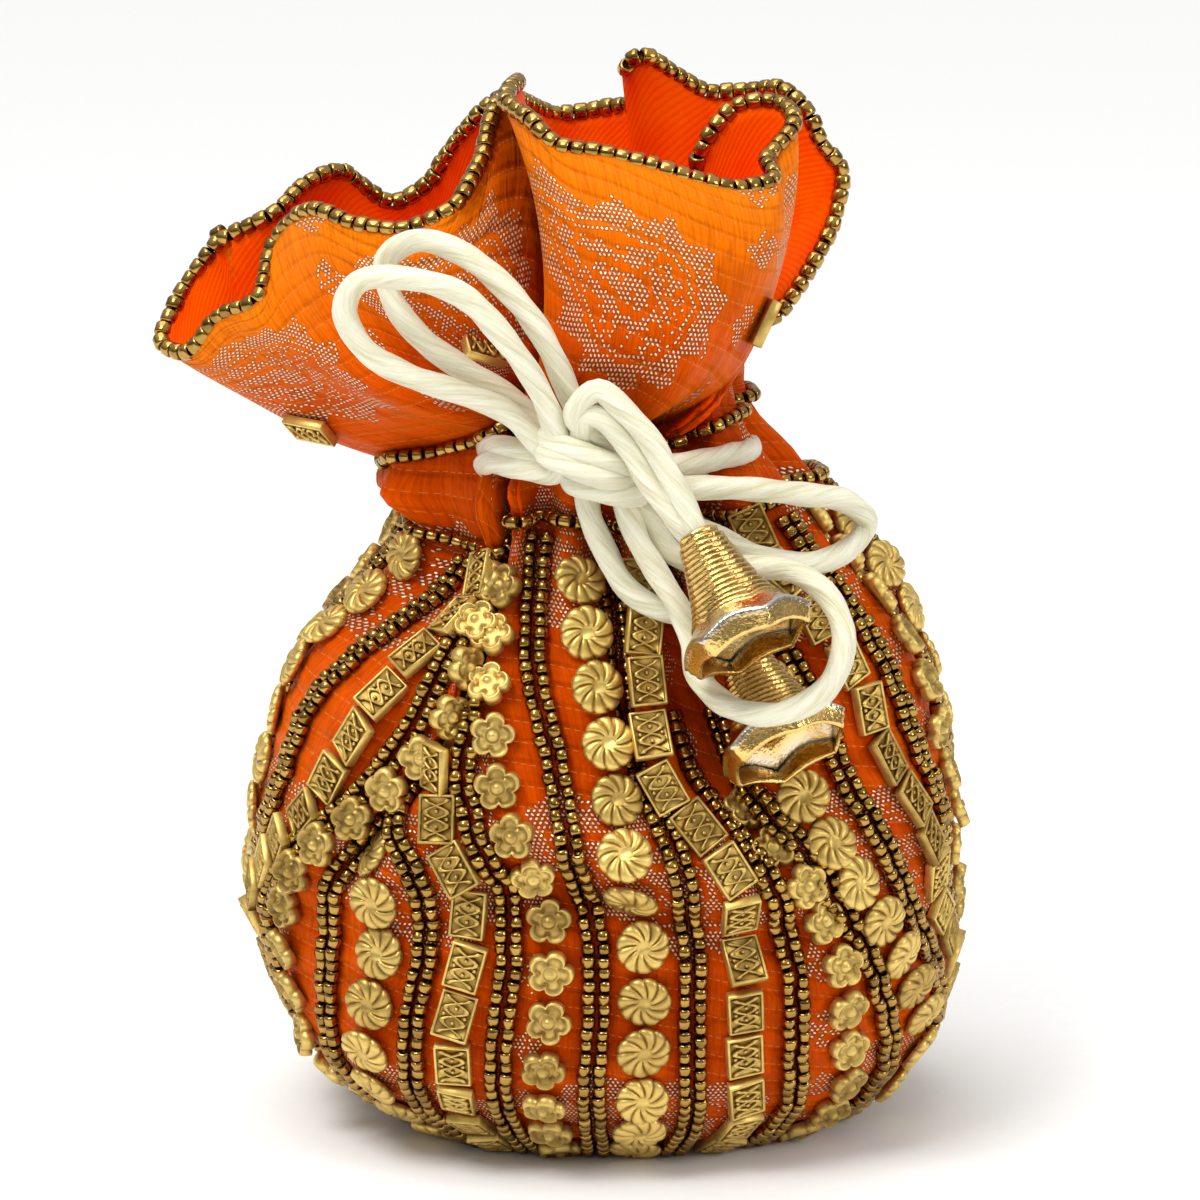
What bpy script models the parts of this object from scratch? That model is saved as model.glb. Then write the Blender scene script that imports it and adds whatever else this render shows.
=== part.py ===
"""Beaded drawstring pouch, built as cloth shell, lining, base, sewn bead strips and two tied cords.

Units in the text are millimetres; MM turns them into metres. The frame has its origin at the middle
of the base, +X to the right, +Y away from the viewer and +Z up.
"""
import math

import bpy
import bmesh
import numpy as np
from mathutils import Matrix, Vector
from mathutils.bvhtree import BVHTree

MM = 0.001

# Driving dimensions
BELLY_HALF_WIDTH = 73.0      # widest half width of the cloth, at about a third of the height
DEPTH_RATIO = 0.86           # front-to-back size over side-to-side size
NECK_HALF_WIDTH = 40.0       # half width of the drawn neck
NECK_HEIGHT = 150.0          # where the ruffle starts
NECK_TILT = 0.10             # the drawn neck sits higher on the right by this slope
RUFFLE_SCALE = 1.0           # size of the ruffle about the top of the neck
SHELL_THICKNESS = 1.2        # quilted brocade
LINING_THICKNESS = 0.8       # satin
BASE_THICKNESS = 2.0         # card disc in the bottom
BEAD_HEIGHT = 2.2            # how far the sewn beads stand off the cloth
SEED_DIAMETER = 2.6          # the small beads of strands and double rows
TILE_WIDTH = 7.4             # the single flat beads on the ruffle
TILE_HEIGHT = 9.8
CORD_DIAMETER = 4.8
BELL_LENGTH = 26.0
BELL_MOUTH_RADIUS = 12.6
BELL_WALL = 0.9

# Clearances
LAYER_GAP = 0.4              # cloth to lining, lining to base
SEWN_GAP = 0.55              # cloth to a bead sewn on it
TOUCH_GAP = 0.35             # bead to bead
BASE_INSET = 2.0             # shell's inner face to the base disc
FLOOR_SHARE = 0.92           # the lining's floor, as a share of the lowest row above it
FLOOR_INNER_SHARE = 0.90
STRAND_STAND_OFF = 2.0       # casing strands' axis to the cloth, in bead radii over the sewn gap
RIM_STAND_OFF = 1.4          # rim strand's axis to the cloth's edge, in bead radii over the touch gap

# Pattern of the strips round the body
STRIPS = 21
KINDS = ("flower", "swirl", "tile")
HALF_STRIP = 0.29            # a motif facet reaches this share of a strip to each side
MOTIF_MARGIN = 0.07          # bare edge at each side of a motif facet, as a share of its width
SEED_MARGIN = 0.12           # the same beside the double seed rows
LEAST_RIBBON = 1.6           # a ribbon in a pleat gets lower rather than narrower than this
LEAST_HEIGHT = 0.35
TIGHT_RIBBON = 0.9           # width left where a pleat is nearly closed
SECTION_POWER = 2.3          # 2 is an ellipse, more is boxier

# Levels are heights on a body whose neck ends at TOP_LEVEL, and RISE turns them into this body's mm
TOP_LEVEL = 150.0
RISE = NECK_HEIGHT / TOP_LEVEL

# Half width of the belly section as a share of the belly, by level
BODY_PROFILE = [(0, 0.63), (2.2, 0.735), (5.5, 0.80), (12, 0.87), (24, 0.95), (40, 0.99), (52, 1.0),
                (66, 0.985), (80, 0.95), (94, 0.90), (106, 0.83), (117, 0.73), (127, 0.645)]
# Half width of the drawn neck as a share of its top, by level
NECK_PROFILE = [(136, 1.06), (144, 1.01), (TOP_LEVEL, 1.0)]
BODY_LEVELS = [0, 2.2, 5.5, 12, 24, 40, 56, 70, 82, 94, 106, 117, 126.5, 134.5, 142, TOP_LEVEL]
FIRST_STRIP_ROW = 2
LAST_STRIP_ROW = 12
LOWER_CASING_LEVEL = 130.5
UPPER_CASING_LEVEL = 148.6
RUFFLE_LEVELS = [0.2, 0.5, 0.78, 1.0]
RUFFLE_NECK = 40.0           # the neck's half width that the ruffle's points below are for

PLEAT_FULL_LEVEL = 128.0     # every pleat has its whole depth from here up
PLEAT_GATHER = 0.62          # share of the cloth that a pleat's middle takes up
NECK_PLEAT_SHARE = 0.55      # pleat depth left at the top of the neck

# Pleats: (strip at the start, strip at the neck, level where it starts, half width, depth)
PLEATS = [(4.0, 4.5, 68, 1.5, 13), (8.95, 9.0, 60, 1.2, 12), (11.1, 11.05, 92, 0.9, 7),
          (13.0, 13.0, 92, 0.9, 7), (14.95, 14.95, 94, 0.9, 8), (16.8, 16.8, 90, 0.9, 7),
          (18.6, 18.6, 94, 0.9, 8), (20.3, 20.4, 92, 0.8, 7), (1.7, 1.7, 92, 0.9, 7)]

# The rim, one point for each column, left tip first and then round by the front
RIM = [(-67, 10, 194), (-74, 6, 188), (-82, 7, 181), (-87, 5, 174), (-91, 0, 166), (-80, -13, 169),
       (-71, -13, 185), (-62, -22, 194), (-50, -31, 192), (-36, -33, 194), (-27, -23, 204),
       (-25, -8, 212), (-19, 1, 217), (-13, -10, 216), (-12, -33, 211), (0, -40, 208),
       (9, -42, 206), (19, -42, 203), (29, -37, 201), (37, -25, 205), (41, -12, 212),
       (30, -5, 213), (21, -6, 203), (25, 0, 196), (31, 4, 190), (37, 6, 187), (43, 9, 187),
       (47, 13, 191), (50, 18, 198), (48, 21, 207), (40, 21, 216), (29, 27, 215), (19, 27, 214),
       (9, 22, 220), (3, 29, 212), (-6, 34, 207), (-15, 29, 208), (-26, 18, 209), (-34, 21, 199),
       (-43, 24, 190), (-52, 21, 193), (-60, 15, 196)]

# The cloth half way up the ruffle: (strip, x, y, z)
RUFFLE_MIDDLE = [(0.3, -61, 13, 159), (1.3, -66, 4, 153), (2.0, -66, -6, 151), (2.6, -62, -20, 157),
                 (3.1, -54, -32, 167), (3.5, -48, -34, 173), (4.0, -39, -36, 173), (4.5, -30, -36, 175),
                 (5.1, -20, -31, 180), (5.55, -14, -24, 181), (5.9, -11, -17, 178),
                 (6.25, -12, -34, 182), (6.7, -7, -44, 182), (7.4, 4, -49, 182), (8.2, 19, -49, 180),
                 (8.9, 30, -41, 179), (9.5, 36, -27, 179), (10.1, 31, -14, 179), (10.6, 23, -10, 176),
                 (11.5, 29, -2, 169), (12.4, 36, 3, 167), (13.1, 37, 9, 171), (13.8, 37, 17, 175),
                 (14.5, 33, 24, 178), (15.3, 27, 31, 177), (16.1, 12, 34, 178), (17.2, -2, 37, 175),
                 (18.5, -19, 34, 174), (19.7, -36, 28, 167), (20.6, -50, 21, 165)]

# Cord routes, from the knot or the casing outwards
LEFT_RUNS = [
    [(-25, -34, 142.6), (-17, -42, 144.5), (-7, -47, 147)],
    [(-25, -34, 137.2), (-17, -41.5, 139), (-6, -46, 142)],
    [(-5, -47, 148), (-5, -48, 155), (-8, -50, 164), (-13, -53, 175), (-20, -54, 184), (-28, -52, 190),
     (-37, -48, 192), (-43, -46, 188), (-42, -46, 180), (-36, -46, 172), (-28, -45, 166),
     (-20, -44.5, 161), (-13, -44.5, 155), (-7, -46, 148)],
    [(-7, -52, 148), (-9, -54, 154), (-13, -57, 164), (-20, -60, 175), (-28, -60, 183), (-39, -58, 186),
     (-48, -56, 185), (-51, -54, 179), (-47, -53, 171), (-39, -52, 166), (-28, -51, 162),
     (-19, -50.5, 158), (-13, -51, 152), (-6, -50, 146)],
    [(-4, -47, 145), (-3, -48, 137), (0, -48.5, 130), (4, -50, 123), (10, -51.5, 119), (17, -52, 118),
     (23.2, -51.4, 117.4)],
]
RIGHT_RUNS = [
    [(32, -27, 148), (23, -38, 147.5), (13, -45, 147.5), (5, -47, 147)],
    [(27, -32, 142), (18, -41, 141.5), (6, -46, 142)],
    [(6, -50, 145), (14, -51, 143.5), (26, -48, 142.5), (39, -41, 140), (49, -34, 137), (53, -31, 132),
     (49, -33, 127), (40, -40, 125.5), (30, -43.5, 128), (20, -44, 133), (11, -45.5, 135.5), (5, -47, 141)],
    [(4, -50, 144), (6, -51.5, 134), (10, -53.5, 127), (14.5, -58.5, 120.5), (17, -60.7, 114.5),
     (18.2, -63, 108.2), (24, -71, 103.6), (33, -77.8, 103.4), (41, -75, 106), (45.5, -68.5, 110),
     (47, -62, 116), (44, -57, 122.5), (37, -52, 126.5), (28, -50, 127), (19, -50, 127.5),
     (13, -49.5, 130), (8, -48, 137), (4, -49, 142)],
    [(3, -50, 148), (1, -55, 155), (-2.2, -57.6, 160.2), (0.2, -58.8, 162.8), (5, -59, 157.5),
     (9, -59.8, 151.8), (12.6, -60.6, 146.2), (15.6, -61.6, 142), (16.9, -62.5, 138.5)],
]
KNOT_CENTRE = (-1.0, -47.0, 146.0)
KNOT_RADII = (11.5, 6.6, 6.6)
BELL_ONE = ((18.0, -63.6, 136.3), (29.0, -75.3, 115.8))
BELL_TWO = ((25.5, -51.4, 113.6), (36.3, -64.9, 92.1))

# Bell wall as (share of the length from the neck, share of the mouth radius)
BELL_OUTSIDE = [(0.0, 0.335), (0.12, 0.37), (0.45, 0.52), (0.78, 0.76), (1.0, 1.0)]
BELL_INSIDE = [(1.0, 1.0), (0.76, 0.76), (0.45, 0.52), (0.14, 0.37)]
BELL_SEGMENTS = 14

# Single beads on the ruffle: (label, strip, share of the way from the neck to the rim)
COLLAR_TILES = [("left_lobe", 2.2, 0.32), ("front_valley", 4.8, 0.32), ("right_edge", 9.5, 0.42)]

# Colours
BROCADE = (0.80, 0.20, 0.02)
SATIN = (0.90, 0.12, 0.01)
BASE_CLOTH = (0.70, 0.16, 0.02)
MATT_GOLD = (0.72, 0.52, 0.16)
BRONZE = (0.35, 0.22, 0.06)
CREAM = (0.86, 0.80, 0.58)
SHINY_GOLD = (0.80, 0.60, 0.25)


def clear_scene():
    """Remove whatever the scene starts with."""
    for item in list(bpy.data.objects):
        bpy.data.objects.remove(item, do_unlink=True)


def material(name, rgb, roughness, metallic=0.0):
    """Return a Principled material of one colour."""
    mat = bpy.data.materials.new(name)
    mat.use_nodes = True
    shader = mat.node_tree.nodes["Principled BSDF"]
    shader.inputs["Base Color"].default_value = (*rgb, 1.0)
    shader.inputs["Roughness"].default_value = roughness
    shader.inputs["Metallic"].default_value = metallic
    mat.diffuse_color = (*rgb, 1.0)
    return mat


def add_mesh(name, verts, faces, rgb, roughness=0.7, metallic=0.0):
    """Make one named object from points in mm and faces, with its own material."""
    mesh = bpy.data.meshes.new(name)
    mesh.from_pydata([tuple(c * MM for c in v) for v in verts], [], faces)
    bm = bmesh.new()
    bm.from_mesh(mesh)
    bmesh.ops.recalc_face_normals(bm, faces=bm.faces)
    if bm.calc_volume(signed=True) < 0:
        bmesh.ops.reverse_faces(bm, faces=bm.faces)
    bm.to_mesh(mesh)
    bm.free()
    obj = bpy.data.objects.new(name, mesh)
    mesh.materials.append(material(name, rgb, roughness, metallic))
    bpy.context.scene.collection.objects.link(obj)
    return obj


# The cloth surface


def half_width(level):
    """Half width of the section at a level: the belly profile, then the neck."""
    levels = [p[0] for p in BODY_PROFILE + NECK_PROFILE]
    widths = [p[1] * BELLY_HALF_WIDTH for p in BODY_PROFILE]
    widths += [p[1] * NECK_HALF_WIDTH for p in NECK_PROFILE]
    return float(np.interp(level, levels, widths))


def unit_section():
    """Table of the unit section by share of its arc: share, x, y and the outward normal."""
    turn = np.linspace(0.0, 2.0 * math.pi, 1441)
    reach = (np.abs(np.sin(turn)) ** SECTION_POWER
             + np.abs(np.cos(turn) / DEPTH_RATIO) ** SECTION_POWER) ** (-1.0 / SECTION_POWER)
    x, y = reach * np.sin(turn), -reach * np.cos(turn)
    arc = np.concatenate([[0.0], np.cumsum(np.hypot(np.diff(x), np.diff(y)))])
    return arc / arc[-1], x, y, np.gradient(y, arc), -np.gradient(x, arc)


SECTION = unit_section()


def pleat_at(u, level):
    """Depth of the pleats and the squeeze of the cloth at strip position u and a level."""
    depth, squeeze = 0.0, 1.0
    for low, high, start, half, deep in PLEATS:
        rise = max(0.0, min(1.0, (level - start) / (PLEAT_FULL_LEVEL - start)))
        rise = rise * rise * (3.0 - 2.0 * rise)
        centre = low + (high - low) * rise
        away = abs((u - centre + STRIPS / 2.0) % STRIPS - STRIPS / 2.0) / half
        if away < 1.0 and rise > 0.0:
            bell = math.cos(math.pi / 2.0 * away) ** 2
            depth = max(depth, deep * rise * bell)
            squeeze -= PLEAT_GATHER * rise * bell
    return depth * float(np.interp(level, [134, TOP_LEVEL], [1.0, NECK_PLEAT_SHARE])), max(squeeze, 0.3)


def section_points(level, where):
    """Points of the cloth section at a level for the strip positions in `where`."""
    fine = np.arange(STRIPS * 20) / 20.0
    squeeze = np.array([pleat_at(u, level)[1] for u in fine])
    share = np.concatenate([[0.0], np.cumsum(squeeze)]) / squeeze.sum()
    ends = np.append(fine, STRIPS)
    front = np.interp(level, [60, 80, 104, 130], [6.62, 6.8, 7.1, 7.3])
    zero = np.interp(front, ends, share)
    half = half_width(level)
    lean = np.interp(level, [90, 125, TOP_LEVEL], [0.0, -2.0, -3.0])
    tilt = float(np.interp(level, [90, TOP_LEVEL], [0.0, NECK_TILT]))
    out = []
    for u in where:
        at = (np.interp(u % STRIPS, ends, share) - zero) % 1.0
        x, y, nx, ny = (float(np.interp(at, SECTION[0], col)) for col in SECTION[1:])
        deep = pleat_at(u, level)[0]
        size = math.hypot(nx, ny)
        across = x * half - nx / size * deep + lean
        out.append(Vector((across, y * half - ny / size * deep, level * RISE + across * tilt)))
    return out


def columns():
    """Strip positions of the mesh columns: two for each strip, at the edges of its motif facet."""
    out = []
    for strip in range(STRIPS):
        out += [strip - HALF_STRIP, strip + HALF_STRIP]
    return out


def ruffle_middle(u):
    """Point of the ruffle's half-way curve at strip position u."""
    keys = [(p[0], p[1:]) for p in RUFFLE_MIDDLE]
    keys = [(keys[-1][0] - STRIPS, keys[-1][1])] + keys + [(keys[0][0] + STRIPS, keys[0][1])]
    u = u % STRIPS
    return Vector([float(np.interp(u, [k[0] for k in keys], [k[1][axis] for k in keys]))
                   for axis in range(3)])


def on_neck(point):
    """A ruffle point sized with the neck and set on its top."""
    spread = RUFFLE_SCALE * NECK_HALF_WIDTH / RUFFLE_NECK
    return Vector((point[0] * spread, point[1] * spread,
                   NECK_HEIGHT + (point[2] - TOP_LEVEL) * RUFFLE_SCALE))


def ruffle_point(neck, middle, rim, t):
    """Point at share t of a smooth curve from the neck through the middle to the rim."""
    return neck * ((1 - t) * (1 - 2 * t)) + middle * (4 * t * (1 - t)) + rim * (t * (2 * t - 1))


def cloth_rows():
    """Outer face of the cloth as rows of points, base first and rim last."""
    where = columns()
    rows = [section_points(level, where) for level in BODY_LEVELS]
    neck = rows[-1]
    middle = [on_neck(ruffle_middle(u)) for u in where]
    rim = [on_neck(p) for p in RIM]
    for t in RUFFLE_LEVELS:
        rows.append([ruffle_point(n, m, r, t) for n, m, r in zip(neck, middle, rim)])
    return rows


def normals(rows):
    """Outward unit normals of the cloth at every point, averaged over the cells about it."""
    count = len(rows[0])
    sums = [[Vector((0, 0, 0)) for _ in row] for row in rows]
    for j in range(len(rows) - 1):
        for i in range(count):
            k = (i + 1) % count
            cell = (rows[j + 1][k] - rows[j][i]).cross(rows[j + 1][i] - rows[j][k]).normalized()
            for m, n in ((j, i), (j, k), (j + 1, i), (j + 1, k)):
                sums[m][n] += cell
    return [[n.normalized() for n in line] for line in sums]


def offset_rows(rows, norms, distance):
    """The cloth moved inwards by a distance."""
    return [[p - n * distance for p, n in zip(row, line)] for row, line in zip(rows, norms)]


def grid_faces(start, row_count, count):
    """Triangles of a closed-round grid whose points begin at index start."""
    faces = []
    for j in range(row_count - 1):
        for i in range(count):
            a, b = start + j * count + i, start + j * count + (i + 1) % count
            c, d = a + count, b + count
            faces += [(a, b, d), (a, d, c)]
    return faces


def joint_faces(first, second, count):
    """Triangles between two rings of the same count."""
    faces = []
    for i in range(count):
        k = (i + 1) % count
        faces += [(first + i, second + i, second + k), (first + i, second + k, first + k)]
    return faces


def make_shell(rows, norms):
    """The brocade outer cloth: one tube of even thickness from the base to the rim."""
    inner = offset_rows(rows, norms, SHELL_THICKNESS)
    inner[0] = [Vector((p.x, p.y, 0.0)) for p in inner[0]]
    count, size = len(rows[0]), len(rows) * len(rows[0])
    verts = [p for row in rows + inner for p in row]
    faces = grid_faces(0, len(rows), count)
    faces += [tuple(reversed(f)) for f in grid_faces(size, len(rows), count)]
    faces += joint_faces(0, size, count)
    faces += joint_faces(size - count, 2 * size - count, count)
    return add_mesh("brocade_shell", verts, faces, BROCADE, 0.55)


def make_lining(rows, norms):
    """The satin lining: a cup inside the shell, open at the rim."""
    outer = offset_rows(rows, norms, SHELL_THICKNESS + LAYER_GAP)[1:]
    inner = offset_rows(rows, norms, SHELL_THICKNESS + LAYER_GAP + LINING_THICKNESS)[1:]
    floor = BASE_THICKNESS + LAYER_GAP
    outer[0] = [Vector((p.x * FLOOR_SHARE, p.y * FLOOR_SHARE, floor)) for p in outer[0]]
    inner[0] = [Vector((p.x * FLOOR_INNER_SHARE, p.y * FLOOR_INNER_SHARE, floor + LINING_THICKNESS))
                for p in inner[0]]
    count, size = len(outer[0]), len(outer) * len(outer[0])
    verts = [p for row in outer + inner for p in row]
    verts += [Vector((0, 0, floor)), Vector((0, 0, floor + LINING_THICKNESS))]
    faces = grid_faces(0, len(outer), count)
    faces += [tuple(reversed(f)) for f in grid_faces(size, len(outer), count)]
    faces += joint_faces(size - count, 2 * size - count, count)
    for i in range(count):
        k = (i + 1) % count
        faces += [(2 * size, k, i), (2 * size + 1, size + i, size + k)]
    return add_mesh("satin_lining", verts, faces, SATIN, 0.45)


def make_base(rows):
    """The stiff base disc inside the bottom edge of the shell, flat under the bag."""
    ring = []
    for p in rows[0]:
        flat = Vector((p.x, p.y, 0.0))
        ring.append(flat * (1.0 - (SHELL_THICKNESS + BASE_INSET) / flat.length))
    count = len(ring)
    verts = ring + [p + Vector((0, 0, BASE_THICKNESS)) for p in ring]
    faces = [tuple(reversed(range(count))), tuple(range(count, 2 * count))]
    for i in range(count):
        k = (i + 1) % count
        faces.append((i, k, count + k, count + i))
    return add_mesh("base_disc", verts, faces, BASE_CLOTH, 0.8)


# Beads sewn on the cloth


def facet_normal(rows, j, i):
    """Normal of facet column i at row j, from the cells above and below."""
    count = len(rows[0])
    k = (i + 1) % count
    below, above = max(j - 1, 0), min(j + 1, len(rows) - 1)
    rise = (rows[above][i] + rows[above][k]) - (rows[below][i] + rows[below][k])
    return (rows[j][k] - rows[j][i]).cross(rise).normalized()


def hollow_turn(rows, j, i, side):
    """Angle of the hollow between facet i and its neighbour, 0 where the edge is a ridge."""
    count = len(rows[0])
    k = (i + 1) % count
    here = (rows[j][k] - rows[j][i]).normalized()
    if side < 0:
        other = (rows[j][i] - rows[j][i - 1]).normalized()
        bend = other.cross(here).z
    else:
        other = (rows[j][(k + 1) % count] - rows[j][k]).normalized()
        bend = here.cross(other).z
    return here.angle(other) if bend < 0 else 0.0


def strip_section(rows, j, i, edge_share, height):
    """Four points of a sewn strip across facet i at row j, kept clear of its neighbours."""
    count = len(rows[0])
    a, b = rows[j][i], rows[j][(i + 1) % count]
    width = (b - a).length
    along = (b - a) / width
    normal = facet_normal(rows, j, i)
    turns = [min(hollow_turn(rows, j, i, side), math.radians(150)) for side in (-1, 1)]
    while True:
        top = SEWN_GAP + height
        left, right = (max(width * edge_share, top * math.tan(t / 2.0) + TOUCH_GAP if t else 0.0)
                       for t in turns)
        if width - left - right >= LEAST_RIBBON or height < LEAST_HEIGHT:
            break
        height *= 0.8
    if width - left - right < TIGHT_RIBBON:
        spare = (width - TIGHT_RIBBON) / (left + right)
        left, right = left * spare, right * spare
    lift, full = normal * SEWN_GAP, normal * (SEWN_GAP + height)
    start, end = a + along * left, b - along * right
    return [start + lift, end + lift, end + full, start + full]


def make_strip(name, rows, i, edge_share, height, rgb):
    """One sewn strip of beads up a facet column, from near the base to under the casing."""
    verts = []
    for j in range(FIRST_STRIP_ROW, LAST_STRIP_ROW + 1):
        verts += strip_section(rows, j, i, edge_share, height)
    steps = LAST_STRIP_ROW - FIRST_STRIP_ROW
    faces = [(0, 3, 2, 1)]
    for j in range(steps):
        s = 4 * j
        for k in range(4):
            a, b = s + k, s + (k + 1) % 4
            if k == 0:
                faces += [(a, b, b + 4), (a, b + 4, a + 4)]
            elif k == 2:
                faces += [(a, b, a + 4), (b, b + 4, a + 4)]
            else:
                faces.append((a, b, b + 4, a + 4))
    end = 4 * steps
    faces.append((end, end + 1, end + 2, end + 3))
    return add_mesh(name, verts, faces, rgb, 0.35, 0.9)


def make_strips(rows):
    """All motif strips and the double seed rows between them."""
    for strip in range(STRIPS):
        kind = KINDS[strip % len(KINDS)]
        make_strip(f"{kind}_strip_{strip // len(KINDS) + 1}", rows, 2 * strip, MOTIF_MARGIN, BEAD_HEIGHT,
                   MATT_GOLD)
        make_strip(f"seed_rows_{strip + 1:02d}", rows, 2 * strip + 1, SEED_MARGIN, BEAD_HEIGHT, BRONZE)


def ring_tube(name, centres, outs, ups, radius, sides, rgb):
    """A closed tube through centres; outs and ups span its section."""
    verts, count = [], len(centres)
    for c, o, w in zip(centres, outs, ups):
        for s in range(sides):
            turn = 2.0 * math.pi * s / sides
            verts.append(c + o * (radius * math.cos(turn)) + w * (radius * math.sin(turn)))
    faces = []
    for i in range(count):
        k = (i + 1) % count
        for s in range(sides):
            t = (s + 1) % sides
            faces.append((i * sides + s, i * sides + t, k * sides + t, k * sides + s))
    return add_mesh(name, verts, faces, rgb, 0.35, 0.9)


def row_between(rows, level):
    """The cloth polygon at a level, straight between the two mesh rows about it."""
    j = max(k for k, low in enumerate(BODY_LEVELS[:-1]) if low <= level)
    part = (level - BODY_LEVELS[j]) / (BODY_LEVELS[j + 1] - BODY_LEVELS[j])
    return [a.lerp(b, part) for a, b in zip(rows[j], rows[j + 1])]


def clear_of_line(point, line, reach):
    """Push a point out of reach of a closed polygon, in plan."""
    count = len(line)
    for _ in range(6):
        nearest, best = None, reach
        for i in range(count):
            a, b = line[i].to_2d(), line[(i + 1) % count].to_2d()
            along = b - a
            part = max(0.0, min(1.0, (point.to_2d() - a).dot(along) / along.length_squared))
            spot = a + along * part
            away = (point.to_2d() - spot).length
            if away < best - 1e-4:
                nearest, best, edge = spot, away, along
        if nearest is None:
            return point
        out = Vector((edge.y, -edge.x)).normalized()
        side = point.to_2d() - nearest
        step = side.normalized() if side.length > 0.2 and side.dot(out) > 0 else out
        moved = nearest + step * (reach + 0.02)
        point = Vector((moved.x, moved.y, point.z))
    return point


def make_casing_row(name, rows, level):
    """A strand of seed beads sewn round the neck at a level, bridging the sharpest pleats."""
    radius = SEED_DIAMETER / 2.0
    line = row_between(rows, level)
    edges = [line] + [row_between(rows, level + d / RISE) for d in (-radius, radius)]
    reach = STRAND_STAND_OFF * radius + SEWN_GAP
    count = len(line)
    centres = []
    for i in range(count):
        run = (line[(i + 1) % count] - line[i - 1]).normalized()
        centres.append(line[i] + run.cross(Vector((0, 0, 1))).normalized() * reach * 1.3)
    for _ in range(10):
        after = centres[1:] + centres[:1]
        before = centres[-1:] + centres[:-1]
        centres = [(a + c * 2.0 + b) / 4.0 for a, c, b in zip(before, centres, after)]
        for edge in edges:
            centres = [clear_of_line(c, edge, reach) for c in centres]
    outs = []
    for i in range(count):
        run = (centres[(i + 1) % count] - centres[i - 1]).normalized()
        outs.append(run.cross(Vector((0, 0, 1))).normalized())
    ups = [Vector((0, 0, 1))] * count
    return ring_tube(name, centres, outs, ups, radius, 6, BRONZE)


def make_rim_strand(rows, norms):
    """The strand of seed beads along the rim, standing on the cloth's top edge."""
    radius = SEED_DIAMETER / 2.0
    edge, below, count = rows[-1], rows[-2], len(rows[-1])
    middle = (SHELL_THICKNESS + LAYER_GAP + LINING_THICKNESS) / 2.0
    centres, outs, ups = [], [], []
    for i in range(count):
        run = (edge[(i + 1) % count] - edge[i - 1]).normalized()
        up = edge[i] - below[i]
        up = (up - run * up.dot(run)).normalized()
        centres.append(edge[i] - norms[-1][i] * middle + up * (RIM_STAND_OFF * radius + TOUCH_GAP))
    for i in range(count):
        tangent = (centres[(i + 1) % count] - centres[i - 1]).normalized()
        out = (norms[-1][i] - tangent * norms[-1][i].dot(tangent)).normalized()
        outs.append(out)
        ups.append(out.cross(tangent).normalized())
    return ring_tube("rim_bead_strand", centres, outs, ups, radius, 6, BRONZE)


def ruffle_spot(rows, u, t):
    """Point of the ruffle at strip position u and share t of the way to the rim."""
    where = columns()
    neck = rows[len(BODY_LEVELS) - 1]
    spot = (u - where[0]) % STRIPS
    i = max(k for k, w in enumerate(where) if (w - where[0]) <= spot)
    k = (i + 1) % len(where)
    part = (spot - (where[i] - where[0])) / ((where[k] - where[i]) % STRIPS)
    middle = ruffle_middle(where[i]).lerp(ruffle_middle(where[k]), part)
    rim = Vector(RIM[i]).lerp(Vector(RIM[k]), part)
    return ruffle_point(neck[i].lerp(neck[k], part), on_neck(middle), on_neck(rim), t)


def make_collar_tiles(rows):
    """Single flat beads sewn on the ruffle, each lifted until it is clear of the cloth."""
    shell = bpy.data.objects["brocade_shell"]
    tree = BVHTree.FromPolygons([v.co / MM for v in shell.data.vertices],
                                [tuple(p.vertices) for p in shell.data.polygons])
    wide, high = TILE_WIDTH / 2.0, TILE_HEIGHT / 2.0
    for label, u, t in COLLAR_TILES:
        spot = ruffle_spot(rows, u, t)
        across = (ruffle_spot(rows, u + 0.2, t) - ruffle_spot(rows, u - 0.2, t)).normalized()
        rise = ruffle_spot(rows, u, t + 0.06) - ruffle_spot(rows, u, t - 0.06)
        normal = across.cross(rise).normalized()
        upward = normal.cross(across).normalized()
        lift = SEWN_GAP
        clear = False
        while not clear and lift < 6.0:
            lift += 0.2
            under = [spot + across * a + upward * b + normal * lift
                     for a in (-wide, 0.0, wide) for b in (-high, 0.0, high)]
            clear = all(tree.find_nearest(p)[3] > SEWN_GAP - 0.1 and tree.ray_cast(p, -normal, 12.0)[0]
                        for p in under)
        corners = ((-wide, -high), (wide, -high), (wide, high), (-wide, high))
        verts = [spot + across * a + upward * b + normal * (lift + c)
                 for c in (0.0, BEAD_HEIGHT) for a, b in corners]
        faces = [(3, 2, 1, 0), (4, 5, 6, 7), (0, 1, 5, 4), (1, 2, 6, 5), (2, 3, 7, 6), (3, 0, 4, 7)]
        add_mesh(f"collar_tile_{label}", verts, faces, MATT_GOLD, 0.35, 0.9)


# Cords, knot and bells


def smooth_route(points, spacing):
    """Points at about an even spacing along a smooth curve through hand-chosen points."""
    pts = [Vector(p) for p in points]
    pts = [pts[0] * 2 - pts[1]] + pts + [pts[-1] * 2 - pts[-2]]
    dense = []
    for i in range(1, len(pts) - 2):
        p0, p1, p2, p3 = pts[i - 1:i + 3]
        for step in range(12):
            t = step / 12.0
            dense.append(0.5 * ((2 * p1) + (p2 - p0) * t + (2 * p0 - 5 * p1 + 4 * p2 - p3) * t * t
                                + (3 * p1 - 3 * p2 + p3 - p0) * t ** 3))
    dense.append(pts[-2])
    arc = [0.0]
    for a, b in zip(dense, dense[1:]):
        arc.append(arc[-1] + (b - a).length)
    steps = max(2, round(arc[-1] / spacing))
    wanted = [arc[-1] * s / steps for s in range(steps + 1)]
    return [Vector([float(np.interp(w, arc, [p[axis] for p in dense])) for axis in range(3)])
            for w in wanted]


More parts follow.
